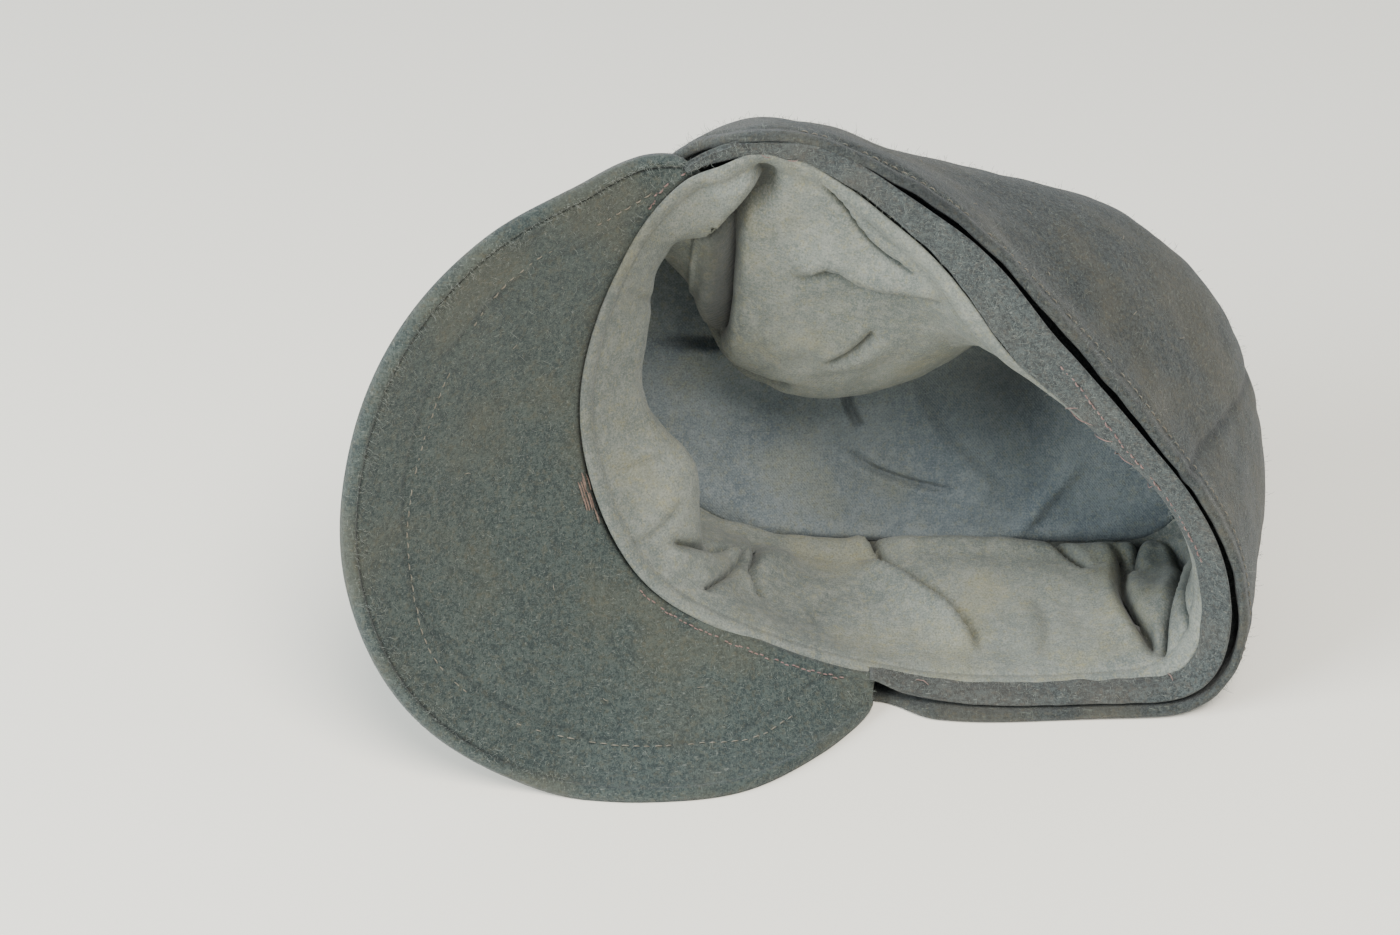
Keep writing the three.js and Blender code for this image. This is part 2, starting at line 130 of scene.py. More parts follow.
def ramp(x, start, end):
    """Smooth step from 0 at start to 1 at end: 3 t squared minus 2 t cubed."""
    t = np.clip((x - start) / (end - start), 0, 1)
    return t * t * (3 - 2 * t)


def bell(x, middle, width):
    """A bell of height 1: e to the minus square of the distance counted in widths."""
    return np.exp(-((x - middle) / width) ** 2)


def bell_at(hour, middle, width):
    """The same bell round a clock hour."""
    return bell(hours_apart(hour, middle), 0, width)


def lesser(one, other, size):
    """The smaller of two values with a rounded changeover."""
    return (one + other - np.hypot(one - other, size)) / 2


def moved(p, direction, amount):
    return p + direction * np.asarray(amount)[..., None]


def height_of(p):
    """Height over the floor: v and rise turned by the tilt, plus the rim's height."""
    return RIM_HEIGHT + p[..., 2] * math.cos(TILT) - p[..., 1] * math.sin(TILT)


def off_floor(p):
    return moved(p, UP, np.maximum(-height_of(p), 0))


def settle(p, clearance):
    """Cloth below the floor's clearance is pressed flat on it, with a rounded start:
    height = clearance + half of (over + hypot(over, rounding)) - give."""
    height = height_of(p)
    over = height - clearance + FLOOR_GIVE
    rounded = (over + np.hypot(over, FLOOR_ROUNDING)) / 2 - FLOOR_GIVE
    return moved(p, UP, clearance + np.maximum(rounded, 0) - height)


def at_hour(hour, reach, rise, sag, clearance):
    """The point at a reach in an hour's direction, dropped by a sag, settled on the floor."""
    angle = hour * math.pi / 6
    p = np.stack([reach * np.sin(angle), rise + 0 * reach, reach * np.cos(angle) - sag], -1)
    return settle(p, clearance)


def corner_reach(hour, rise):
    """The corner low at the back stands out by a bell by hour times a bell by rise."""
    return CORNER_REACH * bell_at(hour, CORNER_HOUR, 0.4) * bell(rise, 0, 60)


def flap_reach(hour, rise):
    """The flap's table, smooth by hour and then along the rises."""
    rows = [by_hour(row, hour) for row in FLAP_REACHES]
    return along(FLAP_RISES, rows, rise) + corner_reach(hour, rise)


def crown_reach(hour, rise):
    """The crown's table in the same way, kept inside the flap."""
    rows = [by_hour(row, hour) for row in CROWN_REACHES]
    free = along(CROWN_RISES, rows, rise) + corner_reach(hour, rise)
    return lesser(free, flap_reach(hour, rise) - FLAP_CLOTH - LAYER_GAP, 1)


def sag_share(hour, rise):
    """A place's share of the sag: by hour times by rise."""
    turned = np.where(hour < SAG_HOURS[0], hour + 12, hour)
    return np.maximum(along(SAG_HOURS, SAG_SHARES, turned), 0) * along(SAG_RISES, SAG_DEPTHS, rise)


def crown_point(hour, rise):
    """The crown's outer face: reach by hour and rise, dropped by the sag, on the floor."""
    sag = CROWN_SAG * sag_share(hour, rise)
    return at_hour(hour, crown_reach(hour, rise), rise, sag, FLAP_CLOTH + LAYER_GAP)


def differences(surface, a, b, step):
    """How far a surface's point moves over a step to both sides of each parameter."""
    across = surface(a + step, b) - surface(a - step, b)
    return across, surface(a, b + step) - surface(a, b - step)


def unit(p):
    """Vectors brought to length 1."""
    return p / np.maximum(np.linalg.norm(p, axis=-1, keepdims=True), 1e-12)


def normal_of(surface, a, b):
    return unit(np.cross(*differences(surface, a, b, 1e-3)))


def crown_start(hour):
    """Where the crown's cloth starts: behind the peak over its hours, else at the hem's fold."""
    middle, half = (PEAK_HOURS[0] + PEAK_HOURS[-1]) / 2, (PEAK_HOURS[-1] - PEAK_HOURS[0]) / 2
    beyond = hours_apart(hour, middle) - half
    return ramp(beyond, 0.3, 0.15) * (PEAK_CLOTH + SEAM_GAP) + HEM_FOLD * ramp(beyond, 0.25, 0.45)


def waves(p, size, seed, count=14):
    """Soft irregular swelling, about -1 to 1: a sum of plane waves of about one length in
    random directions, over the root of their number."""
    draw = np.random.default_rng(seed)
    turn = unit(draw.normal(size=(count, 3)))
    length = size * draw.uniform(0.7, 1.5, count)
    phase = draw.uniform(0, 2 * math.pi, count)
    total = np.zeros(p.shape[:-1])
    for direction, span, start in zip(turn, length, phase):
        total += np.sin(p @ direction * (2 * math.pi / span) + start)
    return total / math.sqrt(count)


def grid_normals(p, wraps):
    """Normals of a grid of points, columns taken as a ring where it wraps."""
    across = np.roll(p, -1, 1) - np.roll(p, 1, 1) if wraps else np.gradient(p, axis=1)
    return unit(np.cross(across, np.gradient(p, axis=0)))


def to_row(p):
    """Cap frame in millimetres to the row frame in metres: a turn by the tilt, then a shift."""
    x, rise, v = np.moveaxis(p, -1, 0)
    y = rise * math.cos(TILT) + v * math.sin(TILT) + SHIFT_Y
    z = v * math.cos(TILT) - rise * math.sin(TILT) + RIM_HEIGHT
    return np.stack([x + SHIFT_X, y, z], -1) * MM


def add_mesh(name, points, faces, uvs, material, slot, nodes=(), crease=None):
    """A piece from points in the cap frame, quads, and a uv for each corner. It rides on the
    body, takes the material given and may stand for CAD nodes. The slot is not used. crease
    says how much painted shade darkens a sheet at each point of its grid, from 0 to 1."""
    mesh = bpy.data.meshes.new(name)
    mesh.from_pydata(to_row(off_floor(points)).tolist(), [], faces.tolist())
    mesh.shade_smooth()
    layer = mesh.uv_layers.new(name="cloth")
    layer.data.foreach_set("uv", (uvs * MM).astype(np.float32).ravel())
    mesh.validate()
    # The crease attribute holds painted shade, which the cloth shaders mix into the colour.
    if crease is not None:
        # Both faces have the grid's rows, and the rows between them repeat their ends.
        more = len(points) // crease.shape[1] - 2 * len(crease)
        far = np.repeat(crease[-1:], (more + 1) // 2, 0)
        near = np.repeat(crease[:1], more // 2, 0)
        full = np.clip(np.concatenate([crease, far, crease[::-1], near]), 0, 1)
        layer = mesh.attributes.new("crease", "FLOAT", "POINT")
        layer.data.foreach_set("value", full.astype(np.float32).ravel())
    mesh.materials.append(material)
    piece = bpy.data.objects.new(name, mesh)
    bpy.context.scene.collection.objects.link(piece)
    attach(piece, "root")
    if nodes:
        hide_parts(*nodes)
    return piece


def cloth_grid(outer, inner, wraps, uv):
    """A closed sheet: outer face, rounded edge of two rows, inner face and rounded edge, as
    one loop of rows. A sheet that doesn't wrap gets flat ends. Returns points, quads and a uv
    for each corner."""
    def edge(a, before, b):
        outward = unit(a - before)
        half = np.linalg.norm(a - b, axis=-1, keepdims=True) / 2
        middle = (a + b) / 2
        turns = (math.pi / 3, 2 * math.pi / 3)
        rows = [middle + (a - middle) * math.cos(t) + outward * half * math.sin(t) for t in turns]
        return np.stack(rows)

    top = edge(outer[-1], outer[-2], inner[-1])
    bottom = edge(inner[0], inner[1], outer[0])
    loop = np.concatenate([outer, top, inner[::-1], bottom])
    rows, columns = loop.shape[:2]
    u, v = uv
    u = np.concatenate([u, u[-1:], u[-1:], u[::-1], u[:1], u[:1]])
    v = np.concatenate([v, v[-1:] + 1, v[-1:] + 2, v[::-1] + 3, v[:1] - 2, v[:1] - 1])
    flat = np.stack([np.hstack([u, 2 * u[:, -1:] - u[:, -2:-1]]), np.hstack([v, v[:, :1]])], -1)
    r, c = np.arange(rows)[:, None], np.arange(columns if wraps else columns - 1)[None]
    nr = (r + 1) % rows
    corners = [(r, c), (r, c + 1), (nr, c + 1), (nr, c)]
    faces = np.stack([a * columns + b % columns for a, b in corners], -1).reshape(-1, 4)
    uvs = np.stack([flat[a, b] for a, b in corners], 2).reshape(-1, 2)
    if not wraps:
        count = len(outer)
        k = np.arange(count - 1)
        mirror = 2 * count + 1 - k
        caps = np.concatenate([
            np.stack([k, k + 1, mirror - 1, mirror], -1),
            [[count - 1, count, count + 1, count + 2], [rows - 2, rows - 1, 0, rows - 3]],
        ])
        back = caps[:, ::-1]
        faces = np.concatenate([faces, caps * columns, back * columns + columns - 1])
        ends = np.concatenate([flat[caps, 0], flat[back, columns - 1]])
        uvs = np.concatenate([uvs, ends.reshape(-1, 2)])
    return loop.reshape(-1, 3), faces, uvs


def put(tree, kind, sockets=None, **settings):
    """A shader node with its settings made and its sockets set or linked."""
    node = tree.nodes.new("ShaderNode" + kind)
    for key, value in settings.items():
        setattr(node, key, value)
    for key, value in (sockets or {}).items():
        if isinstance(value, bpy.types.NodeSocket):
            tree.links.new(value, node.inputs[key])
        else:
            node.inputs[key].default_value = value
    return node


def maths(tree, operation, a, b=0.0):
    return put(tree, "Math", {0: a, 1: b}, operation=operation).outputs[0]


def weighted(tree, *terms):
    """The sum of values, each given with its weight."""
    total = None
    for weight, value in terms:
        term = maths(tree, "MULTIPLY", value, weight)
        total = term if total is None else maths(tree, "ADD", total, term)
    return total


def mix(tree, share, a, b):
    return put(tree, "Mix", {0: share, 6: a, 7: b}, data_type="RGBA").outputs[2]


def spread(tree, value, low, high, out_low=0.0, out_high=1.0):
    """A smooth step from one value at low to another at high."""
    sockets = {0: value, 1: low, 2: high, 3: out_low, 4: out_high}
    return put(tree, "MapRange", sockets, interpolation_type="SMOOTHSTEP").outputs[0]


def noise(tree, where, scale, detail, rough):
    sockets = {"Vector": where, "Scale": scale, "Detail": detail, "Roughness": rough}
    return put(tree, "TexNoise", sockets).outputs[0]


def streaks(tree, where, detail, scales, turn):
    """Noise that is drawn out, by a scale of its own along each turned axis."""
    sockets = {"Vector": where, "Location": (0, 0, 0), "Rotation": turn, "Scale": scales}
    return noise(tree, put(tree, "Mapping", sockets).outputs[0], 1.0, detail, 0.6)


def rgb(red, green, blue):
    """A colour as it is seen, 0 to 255, to the linear values of a shader."""
    value = np.array([red, green, blue]) / 255
    value = np.where(value <= 0.04045, value / 12.92, ((value + 0.055) / 1.055) ** 2.4)
    return tuple(value) + (1.0,)


def cloth_group(name, colours, numbers=()):
    """An empty shader group that gives a cloth's colour, roughness and height."""
    group = bpy.data.node_groups.new(name, "ShaderNodeTree")
    sockets = [(title, "INPUT", "NodeSocketColor") for title in colours]
    sockets += [(title, "INPUT", "NodeSocketFloat") for title in numbers]
    sockets += [("Color", "OUTPUT", "NodeSocketColor")]
    sockets += [(title, "OUTPUT", "NodeSocketFloat") for title in ("Roughness", "Height")]
    for title, side, kind in sockets:
        group.interface.new_socket(title, in_out=side, socket_type=kind)
    given, result = group.nodes.new("NodeGroupInput"), group.nodes.new("NodeGroupOutput")
    return group, given.outputs, result.inputs


def painted_crease_shade(tree, colour, shade_colour):
    """The colour darkened by the mesh's crease attribute: painted shade in creases and hollows."""
    dark = put(tree, "Attribute", attribute_name="crease").outputs["Fac"]
    return mix(tree, maths(tree, "MULTIPLY", dark, 0.8), colour, shade_colour)


# Heathered felt: dark and pale fibres in three sizes, warm worn patches and lying hairs.
wool_heather, given, result = cloth_group("wool_heather", ["Deep", "Middle", "Pale", "Warm"], ["Wear"])
t = wool_heather
where = put(t, "TexCoord").outputs["Object"]
patches = noise(t, where, 30, 3, 0.5)
mottle = noise(t, where, 190, 4, 0.6)
grain = noise(t, where, 760, 4, 0.75)
fine = noise(t, where, 2300, 2, 0.6)
tint = noise(t, where, 560, 3, 0.7)
lying = streaks(t, where, 3, (2400, 320, 900), (0.3, 0.5, 0.2))
crossing = streaks(t, where, 3, (360, 1100, 2400), (0.9, 0.2, 0.7))
hairs = maths(t, "MAXIMUM", lying, crossing)
shade = weighted(t, (0.16, mottle), (0.44, grain), (0.4, fine))
base = mix(t, spread(t, shade, 0.42, 0.58), given["Deep"], given["Middle"])
worn = weighted(t, (0.7, spread(t, patches, 0.44, 0.62)), (0.75, spread(t, tint, 0.5, 0.66)))
base = mix(t, maths(t, "MULTIPLY", worn, given["Wear"]), base, given["Warm"])
base = mix(t, spread(t, hairs, 0.60, 0.74, 0.0, 0.75), base, given["Pale"])
# Painted shade: the crease attribute darkens the felt's colour.
t.links.new(painted_crease_shade(t, base, (0.008, 0.009, 0.010, 1)), result["Color"])
t.links.new(spread(t, mottle, 0.3, 0.7, 0.86, 0.98), result["Roughness"])
raised = weighted(t, (0.8, grain), (0.9, hairs), (0.9, mottle), (0.35, fine))
t.links.new(raised, result["Height"])


def cloth_material(name, group, colours, values, bump, specular, sheen):
    """A cloth group with a piece's own colours and values, its relief as (strength, depth in
    metres) and its sheen as (weight, roughness)."""
    values = values | {title: rgb(*colour) for title, colour in colours.items()}
    material = bpy.data.materials.new(name)
    material.use_nodes = True
    tree = material.node_tree
    tree.nodes.clear()
    cloth = put(tree, "Group", values, node_tree=group).outputs
    relief = {"Strength": bump[0], "Distance": bump[1], "Height": cloth["Height"]}
    skin = put(tree, "BsdfPrincipled", {
        "Base Color": cloth["Color"], "Roughness": cloth["Roughness"],
        "Normal": put(tree, "Bump", relief).outputs[0],
        "Specular IOR Level": specular, "Sheen Weight": sheen[0], "Sheen Roughness": sheen[1],
    })
    put(tree, "OutputMaterial", {"Surface": skin.outputs[0]})
    return material


def wool_material(name, deep, middle, pale, warm, wear=0.4, depth=0.0006):
    """Felted wool in a piece's own colours, with a raised nap and a soft sheen."""
    colours = {"Deep": deep, "Middle": middle, "Pale": pale, "Warm": warm}
    return cloth_material(name, wool_heather, colours, {"Wear": wear}, (0.7, depth), 0.2, (0.12, 0.6))


def clock(columns, first=0.0, last=12.0, ends=False):
    """Even hours, with the last one only where the piece has two ends."""
    return first + (last - first) * np.arange(columns + ends) / columns


wool = wool_material("wool_crown", (42, 48, 47), (71, 77, 74), (113, 117, 105), (86, 80, 68))

hour, share = np.meshgrid(clock(COLUMNS), np.linspace(0, 1, 60))
start = crown_start(hour)
rise = start + (CROWN_RISE - start) * share
outer = crown_point(hour, rise)
slack = 0.25 + 0.9 * ramp(rise, 70, 78)
rumple = slack * waves(outer, 26, 3) * ramp(share, 0, 1 / 6)
outer = moved(outer, normal_of(crown_point, hour, rise), rumple)
inner = outer - FELT * grid_normals(outer, True)
sheet = cloth_grid(outer, inner, True, (hour * HOUR_LENGTH, rise))
add_mesh("crown_wall", *sheet, wool, "wool", ["crown_left", "crown_right"])

# ---------- crown top
# An oval panel of the same felt, sewn to the wall's upper edge and slightly domed. Its left
# part has sunk with the wall.


def panel_grid(ring, centre, dome, rows, seed, rumple):
    """A domed panel over a ring: the ring shrinks towards its own running mean and then to
    the centre, and rises by dome times one minus the square of its share."""
    reach = len(ring) // 6
    padded = np.concatenate([ring[-reach:], ring, ring[:reach]])
    sums = np.concatenate([np.zeros((1, 3)), np.cumsum(padded, 0)])
    evened = (sums[2 * reach + 1:] - sums[:-2 * reach - 1]) / (2 * reach + 1)
    share = np.linspace(0, 1, rows)[:, None, None] ** 0.9
    edge = evened[None] + (ring - evened)[None] * share ** 2
    face = centre + (edge - centre) * share
    face[..., 1] += dome * (1 - share[..., 0] ** 2)
    face[..., 1] += rumple * waves(face, 34, seed) * (1 - share[..., 0] ** 6)
    return face


def ring_faces(rows, columns):
    """The quads of a grid whose columns close to a ring."""
    r, c = np.arange(rows - 1)[:, None], np.arange(columns)[None]
    nc = (c + 1) % columns
    low, high = r * columns, (r + 1) * columns
    return np.stack([low + c, low + nc, high + nc, high + c], -1).reshape(-1, 4)


def weld(piece):
    """Merges the doubled points at a piece's two poles and sets its faces outwards."""
    work = bmesh.new()
    work.from_mesh(piece.data)
    bmesh.ops.remove_doubles(work, verts=work.verts, dist=1e-7)
    bmesh.ops.recalc_face_normals(work, faces=work.faces)
    work.to_mesh(piece.data)
    work.free()


def add_panel(name, outer, inner, material, slot, node, crease=None):
    """A panel is a loop of rows from one pole over the edge to the other pole."""
    middle = (outer[-1] + inner[-1]) / 2
    outward = unit(outer[-1] - outer[-2])
    half = np.linalg.norm(outer[-1] - inner[-1], axis=-1, keepdims=True) / 2
    loop = np.concatenate([outer, (middle + outward * half)[None], inner[::-1]])
    faces = ring_faces(*loop.shape[:2])
    points = loop.reshape(-1, 3)
    weld(add_mesh(name, points, faces, points[faces.ravel()][:, [0, 2]], material, slot, [node], crease))


hours = clock(COLUMNS)
ring = crown_point(hours, CROWN_RISE + 0 * hours)
ring[:, 1] += SEAM_GAP + FELT
centre = np.array([-6, CROWN_RISE + SEAM_GAP + FELT, -25.0])
outer = panel_grid(ring, centre, dome=7, rows=40, seed=11, rumple=1.0)
add_panel("crown_top_panel", outer, outer - np.array([0, FELT, 0]), wool, "wool", "crown_top")

# ---------- turned-in rim band
# The crown's wool turned in round the rim, a raw-edged hem 5 to 7 mm deep that ends under
# both ends of the peak. Its edge is held by a row of reddish thread.

HEM_DEPTHS = [5, 5.6, 6.2, 6.6, 6.2, 5.4, 5, 2, -1, -1, -1, 1.6]
HEM_CLOTH = 1.5
HEM_ENDS = (10.72, 18.17)
ACROSS = np.array([1, 0, 1])  # keeps what lies in the rim's own plane
INTO_CROWN = np.array([0, 1, 0])


def inside_crown(hour, rise, gap):
    """The crown's inner face, moved in along its normal by the felt and a gap."""
    return moved(crown_point(hour, rise), normal_of(crown_point, hour, rise), -FELT - gap)


def nap_bed(name, face, rows, outward, count, seed, above=-math.inf):
    """Where a nap is to grow: the places and normals of a face's rows above a height."""
    free = height_of(face)[rows] > above
    normals = outward * grid_normals(face, False)
    return name, face[rows][free], normals[rows][free], count, seed


wool_turned = wool_material(
    "wool_turned_in", (42, 45, 45), (73, 79, 77), (120, 123, 114), (87, 81, 71), depth=0.0005)

hour, share = np.meshgrid(clock(300, *HEM_ENDS, True), np.linspace(0, 1, 24))
rise = share * by_hour(HEM_DEPTHS, hour)
outer = inside_crown(hour, rise, LAYER_GAP)
# The fold wraps round the crown's edge: furthest at the left, and flat where it ends.
folded = bell(np.maximum(rise, 0), 0, 1.1)
over = 3.6 + 0.7 * ramp(hour, 11.75, 11.4) - 1.2 * ramp(hour, 14.9, 15.6)
over -= 1.3 * bell(hour, 12.2, 0.35) + 2.1 * ramp(hour, 17.9, 18.16)
outer = moved(outer, normal_of(crown_point, hour, rise) * ACROSS, over * folded)
outer = moved(outer, INTO_CROWN, -0.9 * folded)
inward = -grid_normals(outer, False)
inner = moved(outer, inward, HEM_CLOTH)
inner = moved(inner, inward, 0.25 * waves(inner, 9, 5) * ramp(share, 0, 1 / 4))
sheet = cloth_grid(outer, inner, False, (hour * HOUR_LENGTH, rise))
add_mesh("rim_hem", *sheet, wool_turned, "wool_hem", ["rim_band"])
nap_beds = [nap_bed("hem_nap", inner, slice(2, None), -1, 1300, 60)]

# ---------- side flap
# A doubled strip of felt turned up round the crown, folded at the rim and topstitched 4.5 mm
# from the fold, with a seam at the centre back. It stands clear of the caved-in crown.

FLAP_HOURS = [9, 10, 10.8, 11.1, 11.5, 13, 15, 17, 17.75, 18.05, 19, 21]
FLAP_LOWS = [16, 12, 6, -1.5, -2, -2, -2, -2, -1.5, 6, 9, 16]
FLAP_HIGHS = [46, 52, 60, 63, 66, 71, 74, 71, 68, 67, 60, 46]
FLAP_ENDS = (9.02, 20.98)
TOPSTITCH, DENT = 4.5, 7.5  # from the fold
SEAM_HOUR, SEAM_SLANT, SEAM_WIDTH = 3.28, 0.0043, 1.1 / 42
FOLD_ROWS = 7
NAP_HEIGHT = 5  # no nap where the cloth lies on the floor


def flap_point(hour, rise):
    """The flap's outer face: its reach by hour and rise, on the floor."""
    return at_hour(hour, flap_reach(hour, rise), rise, 0 * hour, 0)


flap_wool = wool_material("wool_flap", (38, 41, 40), (65, 69, 67), (100, 104, 93), (76, 72, 60), wear=0.6)

hour, share = np.meshgrid(clock(540, *FLAP_ENDS, True), np.linspace(0, 1, 60))
low, high = along(FLAP_HOURS, FLAP_LOWS, hour), along(FLAP_HOURS, FLAP_HIGHS, hour)
rise = low + (high - low) * share
from_fold = rise - low
outer = flap_point(hour, rise)
seam = bell_at(hour, SEAM_HOUR - SEAM_SLANT * rise, SEAM_WIDTH)
bent = ramp(hour, 11.45, 11.7) * ramp(hour, 12.75, 12.3)
relief = 0.35 * waves(outer, 30, 8) + 0.18 * waves(outer, 11, 9)
relief -= 0.55 * bell(from_fold, TOPSTITCH, 1.1) + 0.9 * seam + 2.2 * bent * bell(from_fold, DENT, 2.0)
relief = relief * ramp(height_of(outer), 0, 4)
outer = moved(outer, normal_of(flap_point, hour, rise), relief)
inner = off_floor(outer - grid_normals(outer, False) * FLAP_CLOTH)
# Painted shade: darker in the topstitch groove, the back seam, the dent and along the fold by the gap.
crease = 0.4 * bell(from_fold, TOPSTITCH, 0.9) + 0.6 * seam + 0.7 * bent * bell(from_fold, DENT, 1.5)
crease += 0.6 * bell(hour, 12.2, 0.4) * bell(from_fold, 0, 2.2)
sheet = cloth_grid(outer, inner, False, (hour * HOUR_LENGTH, rise))
add_mesh("turned_up_flap", *sheet, flap_wool, "wool", ["side_flap"], crease)
nap_beds.append(nap_bed("flap_fold_nap", outer, slice(None, FOLD_ROWS), 1, 1000, 61, NAP_HEIGHT))
nap_beds.append(nap_bed("flap_face_nap", outer, slice(FOLD_ROWS, None), 1, 1500, 62, NAP_HEIGHT))

# ---------- flap joining seam
# The flap is sewn to the crown just behind its fold. A narrow strip of wool is all that
# shows of the seam, and it closes the groove between the two; its darker colour is painted
# shade for the deep groove.

hour, share = np.meshgrid(clock(360, 10.5, 17.7, True), np.linspace(0.02, 0.98, 6))
deep = np.maximum(1.3, along(FLAP_HOURS, FLAP_LOWS, hour) + 1.4) + 6.5 * ramp(hour, 11.55, 12.15)
near, far = crown_point(hour, deep), flap_point(hour, deep)
near = moved(near, normal_of(crown_point, hour, deep), -2.8 * (1 - ramp(deep, 1.6, 3.2)))
far = moved(far, normal_of(flap_point, hour, deep), -FLAP_CLOTH)
front = near + (far - near) * share[..., None]
sheet = cloth_grid(front, front + 1.2 * INTO_CROWN, False, (hour * HOUR_LENGTH, share * 4))
# The strip stands for the real seam; its darker wool is painted shade for the groove.
seam_wool_shaded = wool_material(
    "wool_joining_seam_shade", (34, 37, 38), (56, 60, 60), (86, 88, 84), (60, 57, 54), 0.3, 0.0004)
add_mesh("flap_joining_seam", *sheet, seam_wool_shaded, "wool")

# ---------- peak
# Wool over a stiffener, 4 mm thick, sewn to the front of the rim. Its edge is pressed to a
# narrow roll, and a second row of stitches follows it 17 mm further in.

PEAK_REACHES = [94.5, 99, 111, 126, 143.5, 157, 159, 153, 143.5, 131.5, 119, 110.5, 102]
PEAK_FORWARD = [1, 17, 34, 39, 38, 41, 42, 42, 39.5, 30, 17, 4, 0]
PEAK_LIFT = 3.4  # the near face stays this far off the floor
EDGE_ROLL, SECOND_ROW = 1.7, 17.0  # from the edge
PEAK_EDGE_ROWS, PEAK_RIM_ROWS = 14, 6


def peak_point(hour, share):
    """From the rim to the peak's edge: reach goes evenly outwards, and it comes forward
    slowly at first, by share times (0.7 + 0.3 share)."""
    reach_in = crown_reach(hour, 0 * hour) - FELT
    reach = reach_in + (along(PEAK_HOURS, PEAK_REACHES, hour) - reach_in) * share
    forward = along(PEAK_HOURS, PEAK_FORWARD, hour) * share * (0.7 + 0.3 * share)
    return at_hour(hour, reach, -forward, 0 * hour, PEAK_LIFT)


def nearest(p, path):
    """Distance from each point of a grid to a path of points, worked out row by row."""
    gaps = (row[:, None] - path[None] for row in p)
    return np.stack([np.sqrt((gap * gap).sum(-1).min(1)) for gap in gaps])


peak_wool = wool_material("wool_peak", (40, 48, 47), (69, 77, 72), (110, 113, 105), (84, 80, 63))

hour, share = np.meshgrid(clock(420, PEAK_HOURS[0], PEAK_HOURS[-1], True), np.linspace(0, 1, 84))
share = 1 - (1 - share) * (0.3 + 0.7 * (1 - share))  # rows stand closer towards the edge
outer = peak_point(hour, share)
from_edge = nearest(outer, outer[-1])
normal = normal_of(peak_point, hour, share)
inner = off_floor(outer - normal * PEAK_CLOTH)
pressed = ramp(hour, 7.4, 8.0)
roll = 0.3 * np.sqrt(np.clip(1 - ((from_edge - 0.7) / 0.9) ** 2, 0, 1))
roll -= 0.45 * pressed * bell(from_edge, EDGE_ROLL, 0.4)
second = -0.35 * bell(from_edge, SECOND_ROW, 0.8)
soft = 0.5 * waves(outer, 38, 21) + 0.15 * waves(outer, 12, 22)
free = ramp(share, 0, 1 / 12)
outer = moved(outer, normal, (roll + second + soft * ramp(from_edge, 0, 8)) * free)
back = (roll * 0.8 + second) * free * ramp(height_of(inner), 0, 4)
inner = moved(inner, normal, -back)
# Painted shade: darker along the pressed edge roll and in the second row's groove.
crease = 0.85 * pressed * bell(from_edge, EDGE_ROLL, 0.45) + 0.3 * bell(from_edge, SECOND_ROW, 0.8)
sheet = cloth_grid(outer, inner, False, (hour * 70, share * 60))
add_mesh("peak_cloth", *sheet, peak_wool, "wool", ["peak"], crease * free)
edge, face = slice(-PEAK_EDGE_ROWS, None), slice(PEAK_RIM_ROWS, -PEAK_EDGE_ROWS)
nap_beds.append(nap_bed("peak_edge_nap", outer, edge, 1, 1200, 63, NAP_HEIGHT))
nap_beds.append(nap_bed("peak_face_nap", outer, face, 1, 1400, 64, NAP_HEIGHT))

# ---------- lining wall
# Loose grey-green cotton twill, 1 mm thick, sewn in along the rim with its edge folded under.
# On the left it sags far into the hollow with the caved-in crown, and low down it stands off
# the crown in soft swellings.

LINING_CLOTH, LINING_SLACK, LINING_RISE, LINING_SAG = 1.0, 1.2, 77.0, 76.0
TURNED_EDGE, EDGE_GROOVE = 1.1, 3.4  # from the rim
FLOOR_HOUR, BACK_CORNER = 6.0, 4.35
CREST_RISE, WALL_TOP = 67, 70

# Swellings into the hollow as (hour, rise, depth, width in hours, width in rise).
SWELLS = [
    (10.55, 12, 7, 0.3, 8), (8.4, 22, 27, 0.75, 15), (9.6, 18, 12, 0.55, 12),
    (7.1, 48, 8, 0.6, 20), (5.5, 54, 6.5, 0.8, 18), (4.3, 34, 11, 0.34, 22),
]
# The flank between the sag and the front hangs down, by hour and by rise.
FLANK_HOURS = [9.5, 9.9, 10.05, 10.2, 10.38, 10.6, 10.72, 10.84, 11.0, 11.15, 11.5]
FLANK_DROPS = [0, 0, 4, 10, 15, 16, 14.5, 11, 4, 0, 0]
FLANK_RISES = [0, 14, 22, 30, 40, 50, 60, 70, 77]
FLANK_SHARES = [0, 0, 0.15, 0.5, 0.88, 1, 0.9, 0.5, 0.3]


def swelling(hour, rise):
    """Sum over the swellings of depth times a bell by hour times a bell by rise."""
    total = 0 * rise
    for at, deep, inward, width, length in SWELLS:
        total = total + inward * bell_at(hour, at, width) * bell(rise, deep, length)
    return total


def flank_drop(hour, rise):
    """How far the flank hangs down: its drop by hour times its share by rise."""
    held = np.clip(np.where(hour < 6, hour + 12, hour), FLANK_HOURS[0], FLANK_HOURS[-1])
    drop = np.maximum(along(FLANK_HOURS, FLANK_DROPS, held), 0)
    return drop * along(FLANK_RISES, FLANK_SHARES, rise)


def lining_point(hour, rise):
    """The lining's outer face: a little inside the crown, pushed towards the middle by the
    swellings, sagging further than the crown on the left, and dropped at the flank."""
    slack = LAYER_GAP + (LINING_SLACK - LAYER_GAP) * ramp(rise, 0, 16)
    p = inside_crown(hour, rise, slack)
    angle = hour * math.pi / 6
    swell = swelling(hour, rise)
    p[..., 0] -= swell * np.sin(angle)
    p[..., 2] -= swell * np.cos(angle) + (LINING_SAG - CROWN_SAG) * sag_share(hour, rise)
    p[..., 2] -= flank_drop(hour, rise)
    return p


